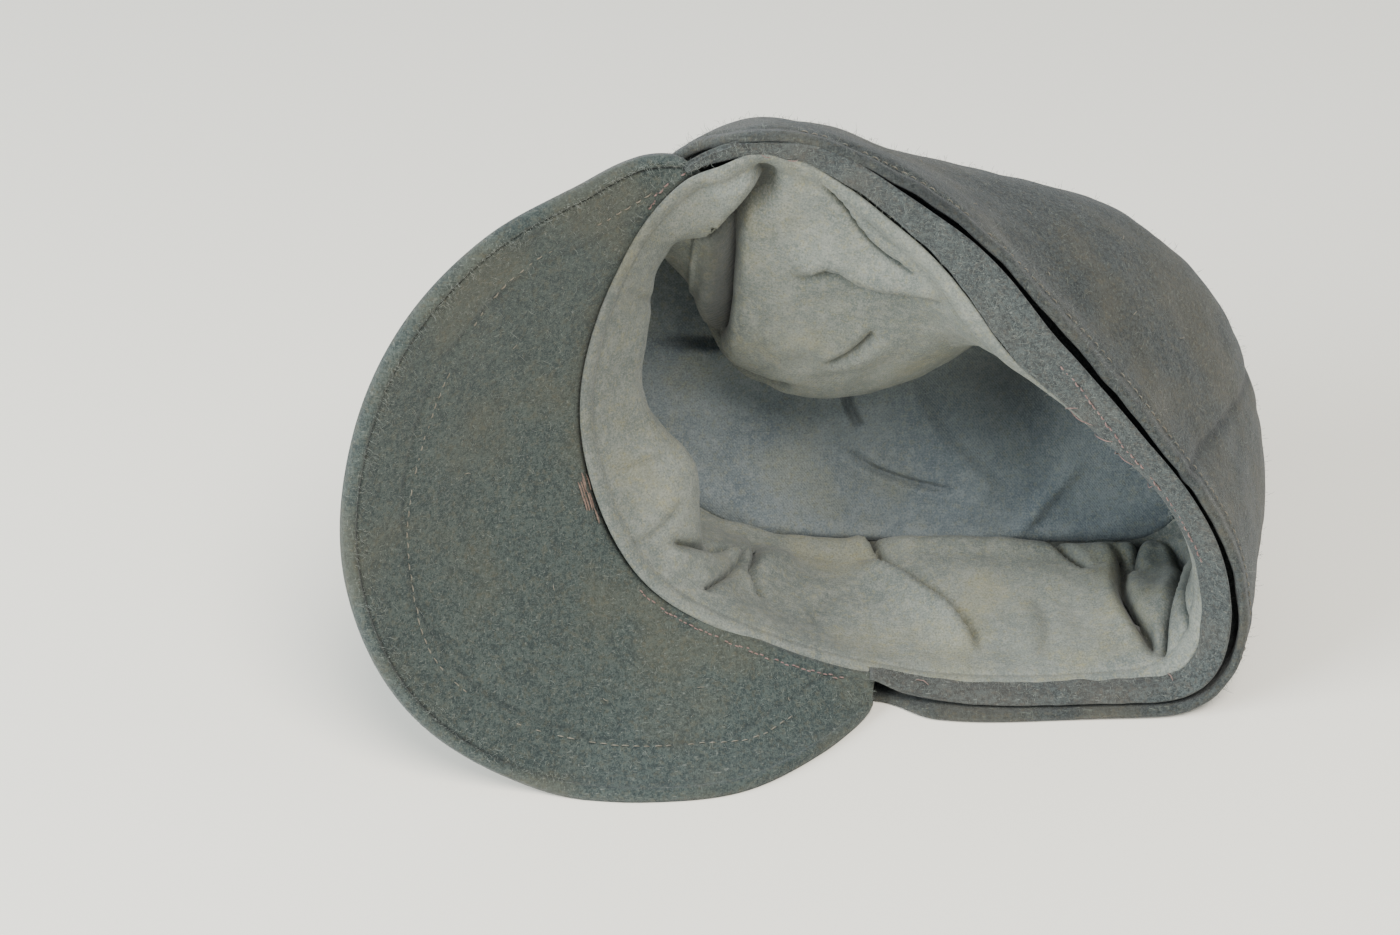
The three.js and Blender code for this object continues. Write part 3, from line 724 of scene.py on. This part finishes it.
# Worn twill: ribs and threads by the cloth's uv, and cloudy wear, dust, stains and specks.
cotton_twill, given, result = cloth_group("cotton_twill", ["Cloth", "Faded", "Grime", "Stain"])
t = cotton_twill
RIB_PITCH = 0.0009
here = put(t, "TexCoord").outputs
flat, solid = here["UV"], here["Object"]
turned = put(t, "VectorMath", {0: flat, 1: (1, 0.8, 0)}, operation="DOT_PRODUCT").outputs["Value"]
rib = maths(t, "SINE", maths(t, "MULTIPLY", turned, 2 * math.pi / RIB_PITCH))
warp = streaks(t, flat, 2, (2600, 160, 1), (0, 0, 0))
weft = streaks(t, flat, 2, (160, 2600, 1), (0, 0, 0))
threads = maths(t, "ADD", warp, weft)
cloudy = noise(t, solid, 40, 4, 0.6)
dusty = noise(t, solid, 330, 4, 0.65)
speck = noise(t, solid, 1700, 3, 0.7)
tint = noise(t, solid, 620, 3, 0.6)
blots = noise(t, solid, 34, 5, 0.7)
tone = mix(t, spread(t, cloudy, 0.36, 0.66), given["Grime"], given["Cloth"])
tone = mix(t, spread(t, dusty, 0.44, 0.66, 0.0, 0.4), tone, given["Faded"])
stained = weighted(t, (0.4, spread(t, blots, 0.5, 0.68)), (0.42, spread(t, tint, 0.52, 0.66)))
tone = mix(t, stained, tone, given["Stain"])
dirt = mix(t, 0.5, given["Grime"], (0.02, 0.02, 0.02, 1))
tone = mix(t, spread(t, speck, 0.36, 0.50, 0.5, 0.0), tone, dirt)
tone = mix(t, spread(t, speck, 0.52, 0.66, 0.0, 0.5), tone, given["Faded"])
tone = mix(t, spread(t, threads, 0.95, 1.25, 0.0, 0.2), tone, given["Faded"])
# Painted shade: the crease attribute darkens the twill's colour.
t.links.new(painted_crease_shade(t, tone, (0.012, 0.013, 0.014, 1)), result["Color"])
t.links.new(spread(t, dusty, 0.3, 0.7, 0.82, 0.95), result["Roughness"])
raised = weighted(t, (0.1, rib), (0.6, threads), (1.2, dusty), (0.5, speck))
t.links.new(raised, result["Height"])


def twill_material(name, cloth, faded, grime, stain):
    """Worn cotton twill in a piece's own colours, with a fine weave and a slight sheen."""
    colours = {"Cloth": cloth, "Faded": faded, "Grime": grime, "Stain": stain}
    return cloth_material(name, cotton_twill, colours, {}, (0.6, 0.0003), 0.3, (0.1, 0.5))


lining_cotton = twill_material(
    "lining_twill", (114, 118, 110), (143, 143, 133), (96, 102, 97), (132, 127, 96))

# Folds of the lining. Each has its places as (hour, rise), how deep its crease is cut and how
# wide, how far the cloth stands out on its side of smaller hours and of larger hours (walking
# towards the crown), and over what width that dies away. Millimetres into the hollow.
LINING_FOLDS = [
    # the pouch under the sag at the front: its long crease, and the edges that meet it
    ([(11.06, 2), (11.14, 5), (11.16, 8), (11.1, 11), (10.98, 14.1), (10.92, 18.9), (10.89, 26.7),
      (10.86, 36), (10.84, 46), (10.82, 54)], 8, 3.4, 0.3, 5.5, 9),
    ([(11.02, 13), (10.85, 17), (10.65, 20), (10.45, 22.5), (10.2, 23.5), (9.9, 24)], 4.5, 2.6, 0, 2.2, 8),
    ([(10.7, 44), (10.8, 50), (10.9, 54), (11.05, 55.5), (11.2, 54), (11.35, 50)], 4, 2.4, 0.5, 1.5, 6),
    # the sagging wall, and the long folds near its rim
    ([(11.3, 24), (11.41, 22.3), (11.5, 20.5), (11.6, 20.2), (11.75, 20.4), (12.03, 18), (12.4, 14),
      (12.7, 11)], 2.8, 1.3, 3.4, 0, 9),
    ([(11.48, 42), (11.56, 40.3), (11.7, 36.4), (11.79, 33), (11.86, 29.5)], 2.4, 1.8, 0.8, 0.8, 6),
    ([(11.42, 5), (11.52, 7), (11.61, 8.8), (11.74, 11), (11.89, 11.8), (12.05, 11.6), (12.3, 11)],
     4.6, 1.2, 0.8, 0.2, 5),
    ([(11.42, 2.5), (11.55, 4.4), (11.7, 5.9), (11.86, 6.5), (12.07, 6.8), (12.42, 7.2), (12.78, 7.6),
      (13.2, 8.2), (13.6, 9)], -3.4, 1.4, 0, 0, 4),
    # the wall on the floor, from the middle to the front
    ([(6.19, 61.8), (5.99, 56), (5.81, 51), (5.7, 45.3), (5.54, 38.1), (5.45, 28.4), (5.42, 18)],
     3.0, 1.5, 0, 4.6, 9),
    ([(6.14, 88), (6.08, 72), (6.02, 64), (5.97, 58), (5.9, 52)], 5.5, 1.8, 0.4, 2.4, 5),
    ([(7.52, 9), (7.47, 12.7), (7.37, 22.4), (7.26, 35.6), (7.24, 44)], 4.2, 1.5, 1.6, 0.4, 4),
    ([(7.1, 66), (7.12, 50), (7.13, 42.2), (7.15, 33.8), (7.06, 27.8), (7.02, 24)], 5.4, 1.8, 0.8, 2.4, 5),
    ([(8.0, 10), (7.84, 14.1), (7.62, 24), (7.42, 36), (7.2, 44)], 3.6, 1.7, 0.3, 2.6, 6),
    ([(7.62, 34), (7.46, 39), (7.27, 39), (7.06, 42), (6.87, 52), (6.68, 62)], -2.6, 4.5, 0, 0, 6),
    # the puckers in the corner at the back
    ([(4.52, 70), (4.5, 62), (4.54, 48), (4.55, 37.1), (4.53, 23.6), (4.5, 9.7)], 8.5, 2.3, 1.0, 3.0, 5),
    ([(4.2, 74), (4.2, 62), (4.16, 48), (4.19, 31), (4.3, 22.1), (4.42, 14.3), (4.5, 8.6)],
     8.0, 2.3, 3.0, 1.2, 4),
    ([(4.02, 40), (4.08, 28), (4.13, 19), (4.18, 12), (4.24, 8.4)], 5.5, 2.0, 1.6, 0.8, 3.4),
    ([(4.3, 76), (4.38, 70), (4.44, 62), (4.44, 54)], 4.0, 1.6, 1.2, 0.5, 5),
    ([(4.88, 92), (4.8, 74), (4.76, 68), (4.7, 61), (4.66, 56)], 5.5, 1.8, 1.8, 0.8, 4),
    # small ones at the front and on the floor
    ([(8.67, 4), (8.65, 9), (8.64, 12.2), (8.58, 17)], 0.9, 1.1, 0.6, 0.2, 5),
    ([(8.2, -0.5), (8.13, 4.4), (8.12, 8.5), (8.15, 12.4), (8.22, 16)], 1.1, 1.2, 0.8, 0.3, 5),
    ([(9.9, 4), (9.86, 12), (9.8, 20)], 0.8, 2.0, 0.5, 0.5, 6),
    ([(6.6, 20), (6.5, 34), (6.3, 46)], 1.0, 3.0, 0.8, 0.8, 8),
    ([(5.1, 16), (5.0, 30), (4.95, 44)], 1.0, 3.0, 0.6, 0.8, 8),
]
FULL_CUT = 7  # a crease cut as deep as this is as dark as one gets


def smooth_path(places, count):
    """Points along a smooth curve through given places."""
    places = np.array(places, float)
    fine = np.linspace(0, len(places) - 1, count)
    return np.stack([along(np.arange(len(places)), column, fine) for column in places.T], -1)


def fold_relief(across, deep, scales, folds, turn=0.0):
    """Sum over folds of a crease, minus cut times a bell of its width, and of cloth standing
    out on each side, which starts at the crease and dies away as a wider bell, by the
    distance to each path in the grid's own scales. Returns the relief and the darkness,
    painted shade along each crease that grows with its cut."""
    total, dark = np.zeros(across.shape), np.zeros(across.shape)
    for places, cut, narrow, before, after, wide in folds:
        path = smooth_path(places, 26)
        best = np.full(across.shape, 1e9)
        side, gone = np.zeros(across.shape), np.zeros(across.shape)
        for k, (start, end) in enumerate(zip(path[:-1], path[1:])):
            x = across - start[0]
            if turn:
                x = np.mod(x + turn / 2, turn) - turn / 2
            x, y = x * scales[0], (deep - start[1]) * scales[1]
            u, v = (end[0] - start[0]) * scales[0], (end[1] - start[1]) * scales[1]
            t = np.clip((x * u + y * v) / np.maximum(u * u + v * v, 1e-9), 0, 1)
            gap = np.hypot(x - t * u, y - t * v)
            near = gap < best
            best = np.where(near, gap, best)
            side = np.where(near, u * y - v * x, side)
            gone = np.where(near, (k + t) / (len(path) - 1), gone)
        weight = ramp(gone, 0, 0.22) * ramp(gone, 1, 0.78)
        line = bell(best, 0, narrow)
        stand = np.where(side < 0, before, after) * (1 - line) * bell(best, 0, wide)
        total += weight * (stand - cut * line)
        dark = np.maximum(dark, weight * line * np.clip(cut / FULL_CUT, 0, 0.9))
    return total, dark


def spacing(surface, a, b):
    """Millimetres per unit of each parameter of a surface."""
    step = 1e-2
    return [np.linalg.norm(d, axis=-1) / (2 * step) for d in differences(surface, a, b, step)]


def behind_crest(hour):
    """1 over the hours of the floor side, where the wall's top hides the seam behind it."""
    return ramp(hour, 7.1, 6.7) * ramp(hour, 3.8, 4.6)


# The columns stand closer together where the folds are finest.
dense = np.linspace(0, 12, 2401)
pull = 1 + 1.9 * bell_at(dense, 11.15, 0.75) + 1.3 * bell_at(dense, 4.4, 0.55)
gone = np.concatenate([[0], np.cumsum((pull[1:] + pull[:-1]) / 2)])
ring_hours = np.interp(clock(COLUMNS) / 12 * gone[-1], gone, dense)

hour, share = np.meshgrid(ring_hours, np.linspace(0, 1, 105))
first = by_hour(HEM_DEPTHS, hour) + SEAM_GAP
rise = first + (LINING_RISE - first) * share
from_rim = rise - first
outer = lining_point(hour, rise)
normal = normal_of(lining_point, hour, rise)
relief, dark = fold_relief(hour, rise, spacing(lining_point, hour, rise), LINING_FOLDS, 12.0)
relief = relief * ramp(rise, 77, 72) * ramp(from_rim, 0, 4.5)
loose = ramp(from_rim, 0, 12) * ramp(rise, 77, 70)
relief += loose * (0.5 * (1 + waves(outer, 34, 31)) + 0.2 * (1 + waves(outer, 10, 32)))
relief += 0.55 * bell(from_rim, TURNED_EDGE, 1.1) - 0.45 * bell(from_rim, EDGE_GROOVE, 0.7)
relief += 3.5 * bell_at(hour, 10.9, 0.16) * bell(rise, 6, 6)

# On the floor side the wall's top swells to a crest, which the folds break, and turns in.
from_floor = hours_apart(hour, FLOOR_HOUR)
crest = 1 - 0.6 * bell_at(hour, 7.42, 0.16) - 0.4 * bell_at(hour, FLOOR_HOUR, 0.1)
crest = (crest - 0.4 * bell_at(hour, 4.72, 0.08)) * ramp(from_floor, 2.3, 1.4)
relief += 3.2 * crest * bell(rise, CREST_RISE, 4.4)
relief -= 3.0 * ramp(rise, WALL_TOP, 74) * ramp(from_floor, 2.6, 1.7)

# Nowhere does the cloth go back through the crown.
room = 0.6 + 0.85 * swelling(hour, rise) + 28 * sag_share(hour, rise) + 0.5 * flank_drop(hour, rise)
outer = moved(outer, normal, -np.maximum(relief, -room))
outer[..., 0] -= 3 * bell_at(hour, 11.2, 0.2) * ramp(rise, 9, 23) * ramp(rise, 66, 46)
at_peak = ramp(hour, 5.9, 6.3) * ramp(hour, 11.6, 11.3)
flare = (at_peak + 1.3 * bell_at(hour, BACK_CORNER, 0.75)) * bell(from_rim, 0, 1.4)
outer = moved(outer, normal * ACROSS * 1.7 - 0.7 * INTO_CROWN, flare)
inner = outer - grid_normals(outer, True) * LINING_CLOTH
wall_end = inner[-2] - grid_normals(outer, True)[-2] * 0.1

# Painted shade darkens the folds, the band behind the crest, the corner at the back, the
# strip under the flank, the groove by the turned edge and the front near the rim.
dark = dark * ramp(from_rim, 0, 4) + 0.6 * ramp(rise, WALL_TOP, 74) * behind_crest(hour)
dark += 0.3 * bell_at(hour, 4.3, 0.34) * ramp(from_rim, 4, 12)
dark += 0.65 * bell(hour, 10.81, 0.05) * ramp(rise, 12, 20) * ramp(rise, 58, 48)
dark += 0.12 * bell(from_rim, EDGE_GROOVE, 0.7) + 0.32 * bell_at(hour, 9.7, 1.1) * bell(rise, 0, 34)
sheet = cloth_grid(outer, inner, True, (hour * 50, rise))
add_mesh("lining_wall", *sheet, lining_cotton, "lining", ["lining_side"], dark)

# ---------- lining end panel
# The lining's oval end, of the same cotton, sewn inside the end of its wall. It has slumped
# into a hollow at the back and lies in a few long soft folds.

# As for the wall, with places as (x, v).
END_FOLDS = [
    ([(44, -70), (46.5, -66), (50.5, -61.1), (54.9, -54.8), (62, -45.9), (70, -38)], -2.2, 2.4, 0, 0.0, 7),
    ([(12, -10), (17, -20), (22, -30), (30, -38), (38, -45), (46, -51)], 0.0, 3.0, 2.4, 0.0, 18),
    ([(-11, -38), (-8.6, -40.2), (-1.9, -44.6), (7.4, -48.1), (19, -50.7), (28, -51)], 1.5, 1.3, 1.1, 0.3, 5),
    ([(-11.5, -14), (-11, -19.2), (-9.7, -23.1), (-7.4, -28), (-6, -31)], 2.6, 1.6, 1.2, 0.6, 5),
    ([(-80, 3.5), (-76.6, 2.8), (-71.7, 2.2), (-58.9, 1.4), (-52.5, 1.2), (-45, -1)], 2.4, 1.9, 3.0, 0.0, 9),
]
END_ROWS = 64

# A bluer copy of the lining's twill: painted cool shade, as the end panel lies in shade deep in the hollow.
end_cotton_cool_shade = twill_material(
    "lining_end_twill_cool_shade", (113, 121, 122), (138, 143, 141), (94, 103, 107), (122, 123, 106))

centre = np.array([-18.0, LINING_RISE, -42.0])
outer = panel_grid(wall_end, centre, dome=4, rows=END_ROWS, seed=17, rumple=0.8)
share = np.linspace(0, 1, END_ROWS)[:, None]
hours = ring_hours[None]
x, v = outer[..., 0], outer[..., 2]
free = ramp(share, 1, 0.8)
relief, dark = fold_relief(x, v, (1.0, 1.0), END_FOLDS)
moat = 1.8 * bell(share, 0.94, 0.06) * bell_at(hours, 5.9, 1.7)
pocket = 8.5 * bell(x, 44, 24) * bell(v, -20, 20) + 3.0 * bell(x, -62, 16) * bell(v, 16, 12)
outer[..., 1] -= (relief - pocket) * free + moat
inner = outer - grid_normals(outer, True) * LINING_CLOTH
# Painted shade darkens the folds, the pocket under the bulge, the middle and the band behind the crest,
# through the crease attribute.
dark = dark * free + 0.8 * bell(x, 46, 24) * bell(v, -16, 26) + 0.2 * bell(x, 0, 26)
dark += 0.6 * bell(share, 1, 0.05) * behind_crest(hours)
add_panel("lining_end", outer, inner, end_cotton_cool_shade, "lining", "lining_top", dark)

# ---------- sewing threads
# Linen sewing thread, 0.3 to 0.6 mm thick and faded: rows of short stitches that dip into the
# cloth at both ends, a bar of close reddish stitches at the front, and a few loose ends and
# bits of lint that lie on the felt.


def tubes(paths, radius, sides):
    """Closed tapered tubes along paths of shape (count, steps, 3). A ring stands square to
    the path at each step, and the radius falls to a third at both ends."""
    count, steps = paths.shape[:2]
    ahead = unit(np.gradient(paths, axis=1))
    across = unit(np.cross(ahead, np.array([0.31, 0.52, 0.79])))
    above = np.cross(across, ahead)
    thick = radius * (0.33 + 0.67 * np.sin(math.pi * np.linspace(0, 1, steps)) ** 0.5)
    turn = (np.arange(sides) * 2 * math.pi / sides)[:, None]
    ring = across[:, :, None] * np.cos(turn) + above[:, :, None] * np.sin(turn)
    points = paths[:, :, None] + ring * thick[None, :, None, None]
    low = np.array([[3, 2, 1, 0], [5, 4, 3, 0]])[:sides // 2 - 1]
    high = low[:, ::-1] + (steps - 1) * sides
    faces = np.concatenate([ring_faces(steps, sides), low, high])
    faces = (faces[None] + (np.arange(count) * steps * sides)[:, None, None]).reshape(-1, 4)
    u = np.arange(steps)[None, :, None] * 0.4 + np.arange(count)[:, None, None] + 0 * turn[:, 0]
    uvs = np.stack([u, turn[:, 0] + 0 * u], -1).reshape(-1, 2)
    return points.reshape(-1, 3), faces, uvs[faces.ravel()]


def on_surface(surface, a, b, lift):
    return moved(surface(a, b), normal_of(surface, a, b), lift)


def row_of_stitches(surface, places, pitch, length, lift, seed, wander=0.12, skip=0.0):
    """Stitch paths along a curve of (a, b) places on a surface: each bridges its length with
    a half-sine lift, starts and ends under the face, and strays a little from the row."""
    draw = np.random.default_rng(seed)
    a, b = smooth_path(places, 600).T
    pieces = np.linalg.norm(np.diff(surface(a, b), axis=0), axis=1)
    gone = np.concatenate([[0], np.cumsum(pieces)])
    starts = np.arange(pitch / 2, gone[-1] - length, pitch)
    starts = starts[draw.uniform(size=len(starts)) >= skip] + draw.uniform(-0.15, 0.15, 1) * pitch
    step = np.linspace(0, 1, 6)
    reach = starts[:, None] + length * step * draw.uniform(0.8, 1.15, (len(starts), 1))
    height = lift * (np.sin(math.pi * step) ** 0.7 * 1.25 - 0.5) + 0 * reach
    paths = on_surface(surface, np.interp(reach, gone, a), np.interp(reach, gone, b), height)
    return paths + draw.normal(size=(len(starts), 1, 3)) * wander


def loose_threads(surface, roots, seed, lift):
    """Wandering threads that lie on a surface. Each root is (a, b, length, heading)."""
    draw = np.random.default_rng(seed)
    steps = 9
    paths = []
    for a, b, length, heading in roots:
        one, two = spacing(surface, np.array(a), np.array(b))
        bend = heading + np.cumsum(draw.normal(size=steps)) * 0.25
        u = np.concatenate([[0], np.cumsum(np.cos(bend[1:]))]) * length / steps
        v = np.concatenate([[0], np.cumsum(np.sin(bend[1:]))]) * length / steps
        above = lift * (0.6 + np.sin(math.pi * np.linspace(0, 1, steps)))
        paths.append(on_surface(surface, a + u / one, b + v / two, above))
    return np.stack(paths)


def add_threads(name, paths, radius, material, slot, sides=6):
    return add_mesh(name, *tubes(paths, radius, sides), material, slot)


def hem_face(minus_hour, rise):
    """The hem's inner face. Its hours are negative, so that its normal points inwards."""
    return inside_crown(-minus_hour, rise, LAYER_GAP + HEM_CLOTH)


def thread_material(name, *colours):
    """The same wool look with hardly any relief."""
    return wool_material(name, *colours, depth=0.0001)


dull_thread = thread_material("thread_dull", (98, 94, 82), (124, 118, 104), (150, 142, 126), (120, 106, 90))
red_thread = thread_material("thread_red", (106, 82, 78), (134, 106, 100), (160, 134, 124), (126, 104, 90))
tan_thread = thread_material("thread_tan", (98, 80, 70), (124, 102, 90), (150, 128, 112), (118, 98, 86))

# Rows on the peak as (hour, share), on the flap and the hem as (hour, rise).
PEAK_ROW = [
    (10.5, 0.24), (10.47, 0.295), (10.06, 0.595), (9.79, 0.691), (9.46, 0.697), (9.19, 0.719),
    (8.87, 0.762), (8.55, 0.796), (8.26, 0.838), (8.02, 0.83), (7.8, 0.814), (7.56, 0.772),
    (7.34, 0.733), (7.09, 0.683), (6.8, 0.639), (6.6, 0.47),
]
INNER_ROW = [(7.9, 0.035), (7.74, 0.04), (7.41, 0.05), (7.13, 0.06), (6.84, 0.07), (6.54, 0.08), (6.34, 0.09)]
TOP_ROW = [(10.72, 0.18), (10.6, 0.16), (10.5, 0.13), (10.4, 0.1)]
FLAP_ROW = [(11.3, 2.6), (12, 2.5), (13, 2.5), (14, 2.5), (15, 2.5), (16, 2.5), (17, 2.5), (17.6, 3.2)]
BAND_ROW = [
    (-14.1, 0.9), (-14.41, 1.0), (-14.72, 1.7), (-15.02, 2.6), (-15.44, 4.0), (-15.62, 4.4), (-15.8, 4.2),
]

for name, places, thread, radius, gait in [
    ("peak_second_row", PEAK_ROW, dull_thread, 0.2, (3.3, 2.1, 0.32, 41, 0.1, 0.12)),
    ("peak_edge_row", INNER_ROW, red_thread, 0.24, (1.7, 1.5, 0.45, 42, 0.2, 0.1)),
    ("peak_top_row", TOP_ROW, red_thread, 0.24, (1.9, 1.7, 0.5, 43, 0.3, 0.1)),
]:
    add_threads(name, row_of_stitches(peak_point, places, *gait), radius, thread, "wool")
bars = []
for k in range(5):
    out = 0.011 * k
    places = [(8.78 - 0.015 * k, out - 0.004), (8.58, out - 0.006), (8.38 + 0.012 * k, 0.002 + 0.01 * k)]
    bars.append(row_of_stitches(peak_point, places, 5.2, 6.4, 0.6, 50 + k, 0.3))
add_threads("front_bar_stitches", np.concatenate(bars), 0.28, tan_thread, "wool")
stitches = row_of_stitches(flap_point, FLAP_ROW, 3.1, 2.0, 0.3, 44, 0.06, 0.2)
add_threads("flap_topstitch", stitches, 0.17, dull_thread, "wool")
stitches = row_of_stitches(hem_face, BAND_ROW, 2.3, 2.0, 0.4, 45, 0.15, 0.05)
add_threads("band_row", stitches, 0.24, red_thread, "wool_hem")

for name, surface, thread, radius, slot, seed, lift, roots in [
    ("loose_ends", hem_face, red_thread, 0.16, "wool_hem", 46, 0.5, [
        (-14.9, 5, 9, 0.5), (-15.05, 4, 7, 1.3), (-15.15, 6, 8, 2.2), (-15.25, 5, 6, -0.4),
        (-14.7, 4.5, 6, 0.9), (-15.4, 5.5, 5, 1.8), (-11.35, 0.8, 4, 0.7), (-11.2, 0.6, 4, 0.2),
        (-17.86, 1.6, 5, 0.3), (-16.5, 2.5, 4, 1.2),
    ]),
    ("peak_lint", peak_point, dull_thread, 0.12, "wool", 47, 0.3, [
        (6.68, 0.373, 1.8, 0.4), (8.9, 0.5, 2.6, 1.0), (7.6, 0.55, 2.2, 2.0), (9.5, 0.42, 2.4, 0.1),
        (8.2, 0.3, 2.0, 2.6), (9.95, 0.45, 3.0, 1.5), (7.2, 0.35, 2.4, 0.7),
    ]),
    ("flap_lint", flap_point, dull_thread, 0.12, "wool", 48, 0.3, [
        (14.27, 22.2, 4, 1.0), (12.6, 18, 2.6, 0.3), (13.2, 34, 3.2, 2.2), (13.9, 44, 2.6, 1.2),
        (14.6, 30, 3, 0.4), (12.2, 40, 2.2, 1.8), (13.5, 12, 2.4, 2.6),
    ]),
]:
    add_threads(name, loose_threads(surface, roots, seed, lift), radius, thread, slot)

# ---------- nap
# Short wool fibres that stand off the felt's folds and edges, and a few on its faces. They
# are part of the cloth, each with its root in it.


def fibres(places, normals, count, length, seed):
    """Bent fibres: a root on the cloth, a middle out along the normal with a random lean, and
    a tip that leans further."""
    draw = np.random.default_rng(seed)
    chosen = draw.integers(0, len(places), count)
    root = places[chosen] + draw.normal(size=(count, 3)) * 0.25
    up = normals[chosen]
    lean = draw.normal(size=(count, 3)) * 0.7
    size = (length * draw.uniform(0.4, 1.3, count))[:, None]
    middle = root + size * (0.5 * up + 0.3 * lean)
    tip = middle + size * (0.2 * up + 0.5 * lean + 0.25 * draw.normal(size=(count, 3)))
    return np.stack([root - 0.3 * up, middle, tip], 1)


FIBRE_LENGTH, FIBRE_RADIUS = 1.5, 0.045

fuzz = thread_material("wool_fibres", (92, 98, 94), (122, 128, 120), (150, 154, 142), (128, 122, 104))
for name, places, normals, count, seed in nap_beds:
    paths = fibres(places, normals, count, FIBRE_LENGTH, seed)
    add_threads(name, paths, FIBRE_RADIUS, fuzz, "wool", 4)

# ---------- flap button
# One plain button of dull horn, 16 mm across, on the flap's outer face over the meeting of
# its two ends.

BUTTON_RADIUS, BUTTON_HEIGHT = 8, 4
BUTTON_HOUR, BUTTON_RISE = 9.0, 30.0

button_shell = wool_material(
    "button_horn", (60, 66, 62), (84, 90, 84), (110, 114, 104), (90, 86, 74), 0.2, 0.0001)


def turned_button(radius, height, columns):
    """A button turned about an axis: its profile goes from the back's centre out to a
    rounded rim, then over a raised lip to a dished front with a shallow middle."""
    profile = [
        (0, 0), (0.5, 0), (0.9, 0.02), (1.0, 0.2), (1.0, 0.6), (0.96, 0.85),
        (0.88, 1.0), (0.78, 1.0), (0.68, 0.86), (0.5, 0.76), (0.25, 0.72), (0, 0.72),
    ]
    out, lift = smooth_path(profile, 34).T
    out = np.maximum(out, 0)
    out[0] = out[-1] = 0
    angle = np.arange(columns) * 2 * math.pi / columns
    return out[:, None] * radius, lift[:, None] * height, angle[None]


out, lift, angle = turned_button(BUTTON_RADIUS, BUTTON_HEIGHT, 48)
reach = flap_reach(np.array(BUTTON_HOUR), np.array(BUTTON_RISE)) + SEAM_GAP
axes = [-reach - lift + 0 * angle, BUTTON_RISE + out * np.cos(angle), out * np.sin(angle)]
faces = ring_faces(*axes[0].shape)
points = np.stack(axes, -1).reshape(-1, 3)
uvs = points[faces.ravel()][:, [1, 2]]
weld(add_mesh("flap_button_horn", points, faces, uvs, button_shell, "button", ["flap_button"]))

# ---------- floor, light and camera
# A plain pale floor, a broad soft light from above in front and a wider, cooler one from the
# left, and a camera in front of the opening that looks down into it.

bpy.ops.mesh.primitive_plane_add(size=6, location=(0, 0, 0))
floor = bpy.context.object
floor.name = "floor"
floor_paint = bpy.data.materials.new("floor_paint")
floor_paint.use_nodes = True
paint = floor_paint.node_tree.nodes["Principled BSDF"].inputs
paint["Base Color"].default_value = rgb(254, 247, 232)
paint["Roughness"].default_value = 0.7
floor.data.materials.append(floor_paint)


def soft_light(name, place, size, power, colour):
    """A round area light that is turned towards the middle of the cap."""
    lamp = bpy.data.lights.new(name, "AREA")
    lamp.shape, lamp.size, lamp.energy, lamp.color = "DISK", size, power, colour
    light = bpy.data.objects.new(name, lamp)
    bpy.context.scene.collection.objects.link(light)
    x, y, z = np.array(place) - np.array([0, 0, 0.05])
    light.location = place
    light.rotation_euler = (math.atan2(math.hypot(x, y), z), 0, math.atan2(y, x) + math.pi / 2)


soft_light("key", (0.3, -0.92, 1.56), 0.95, 42, (1.0, 0.975, 0.935))
soft_light("fill", (-1.5, -0.7, 0.8), 1.2, 50, (0.86, 0.94, 1.0))
world = bpy.data.worlds.new("studio")
world.use_nodes = True
sky = world.node_tree.nodes["Background"].inputs
sky["Color"].default_value = (0.79, 0.9, 1.0, 1)
sky["Strength"].default_value = 0.64
bpy.context.scene.world = world

lens = bpy.data.cameras.new("camera")
lens.sensor_fit, lens.sensor_width, lens.lens = "HORIZONTAL", 36, 64.29
camera = bpy.data.objects.new("camera", lens)
bpy.context.scene.collection.objects.link(camera)
camera.location = (-0.0404, -0.6268, 0.5033)
camera.rotation_euler = (math.radians(55), 0, 0)
bpy.context.scene.camera = camera
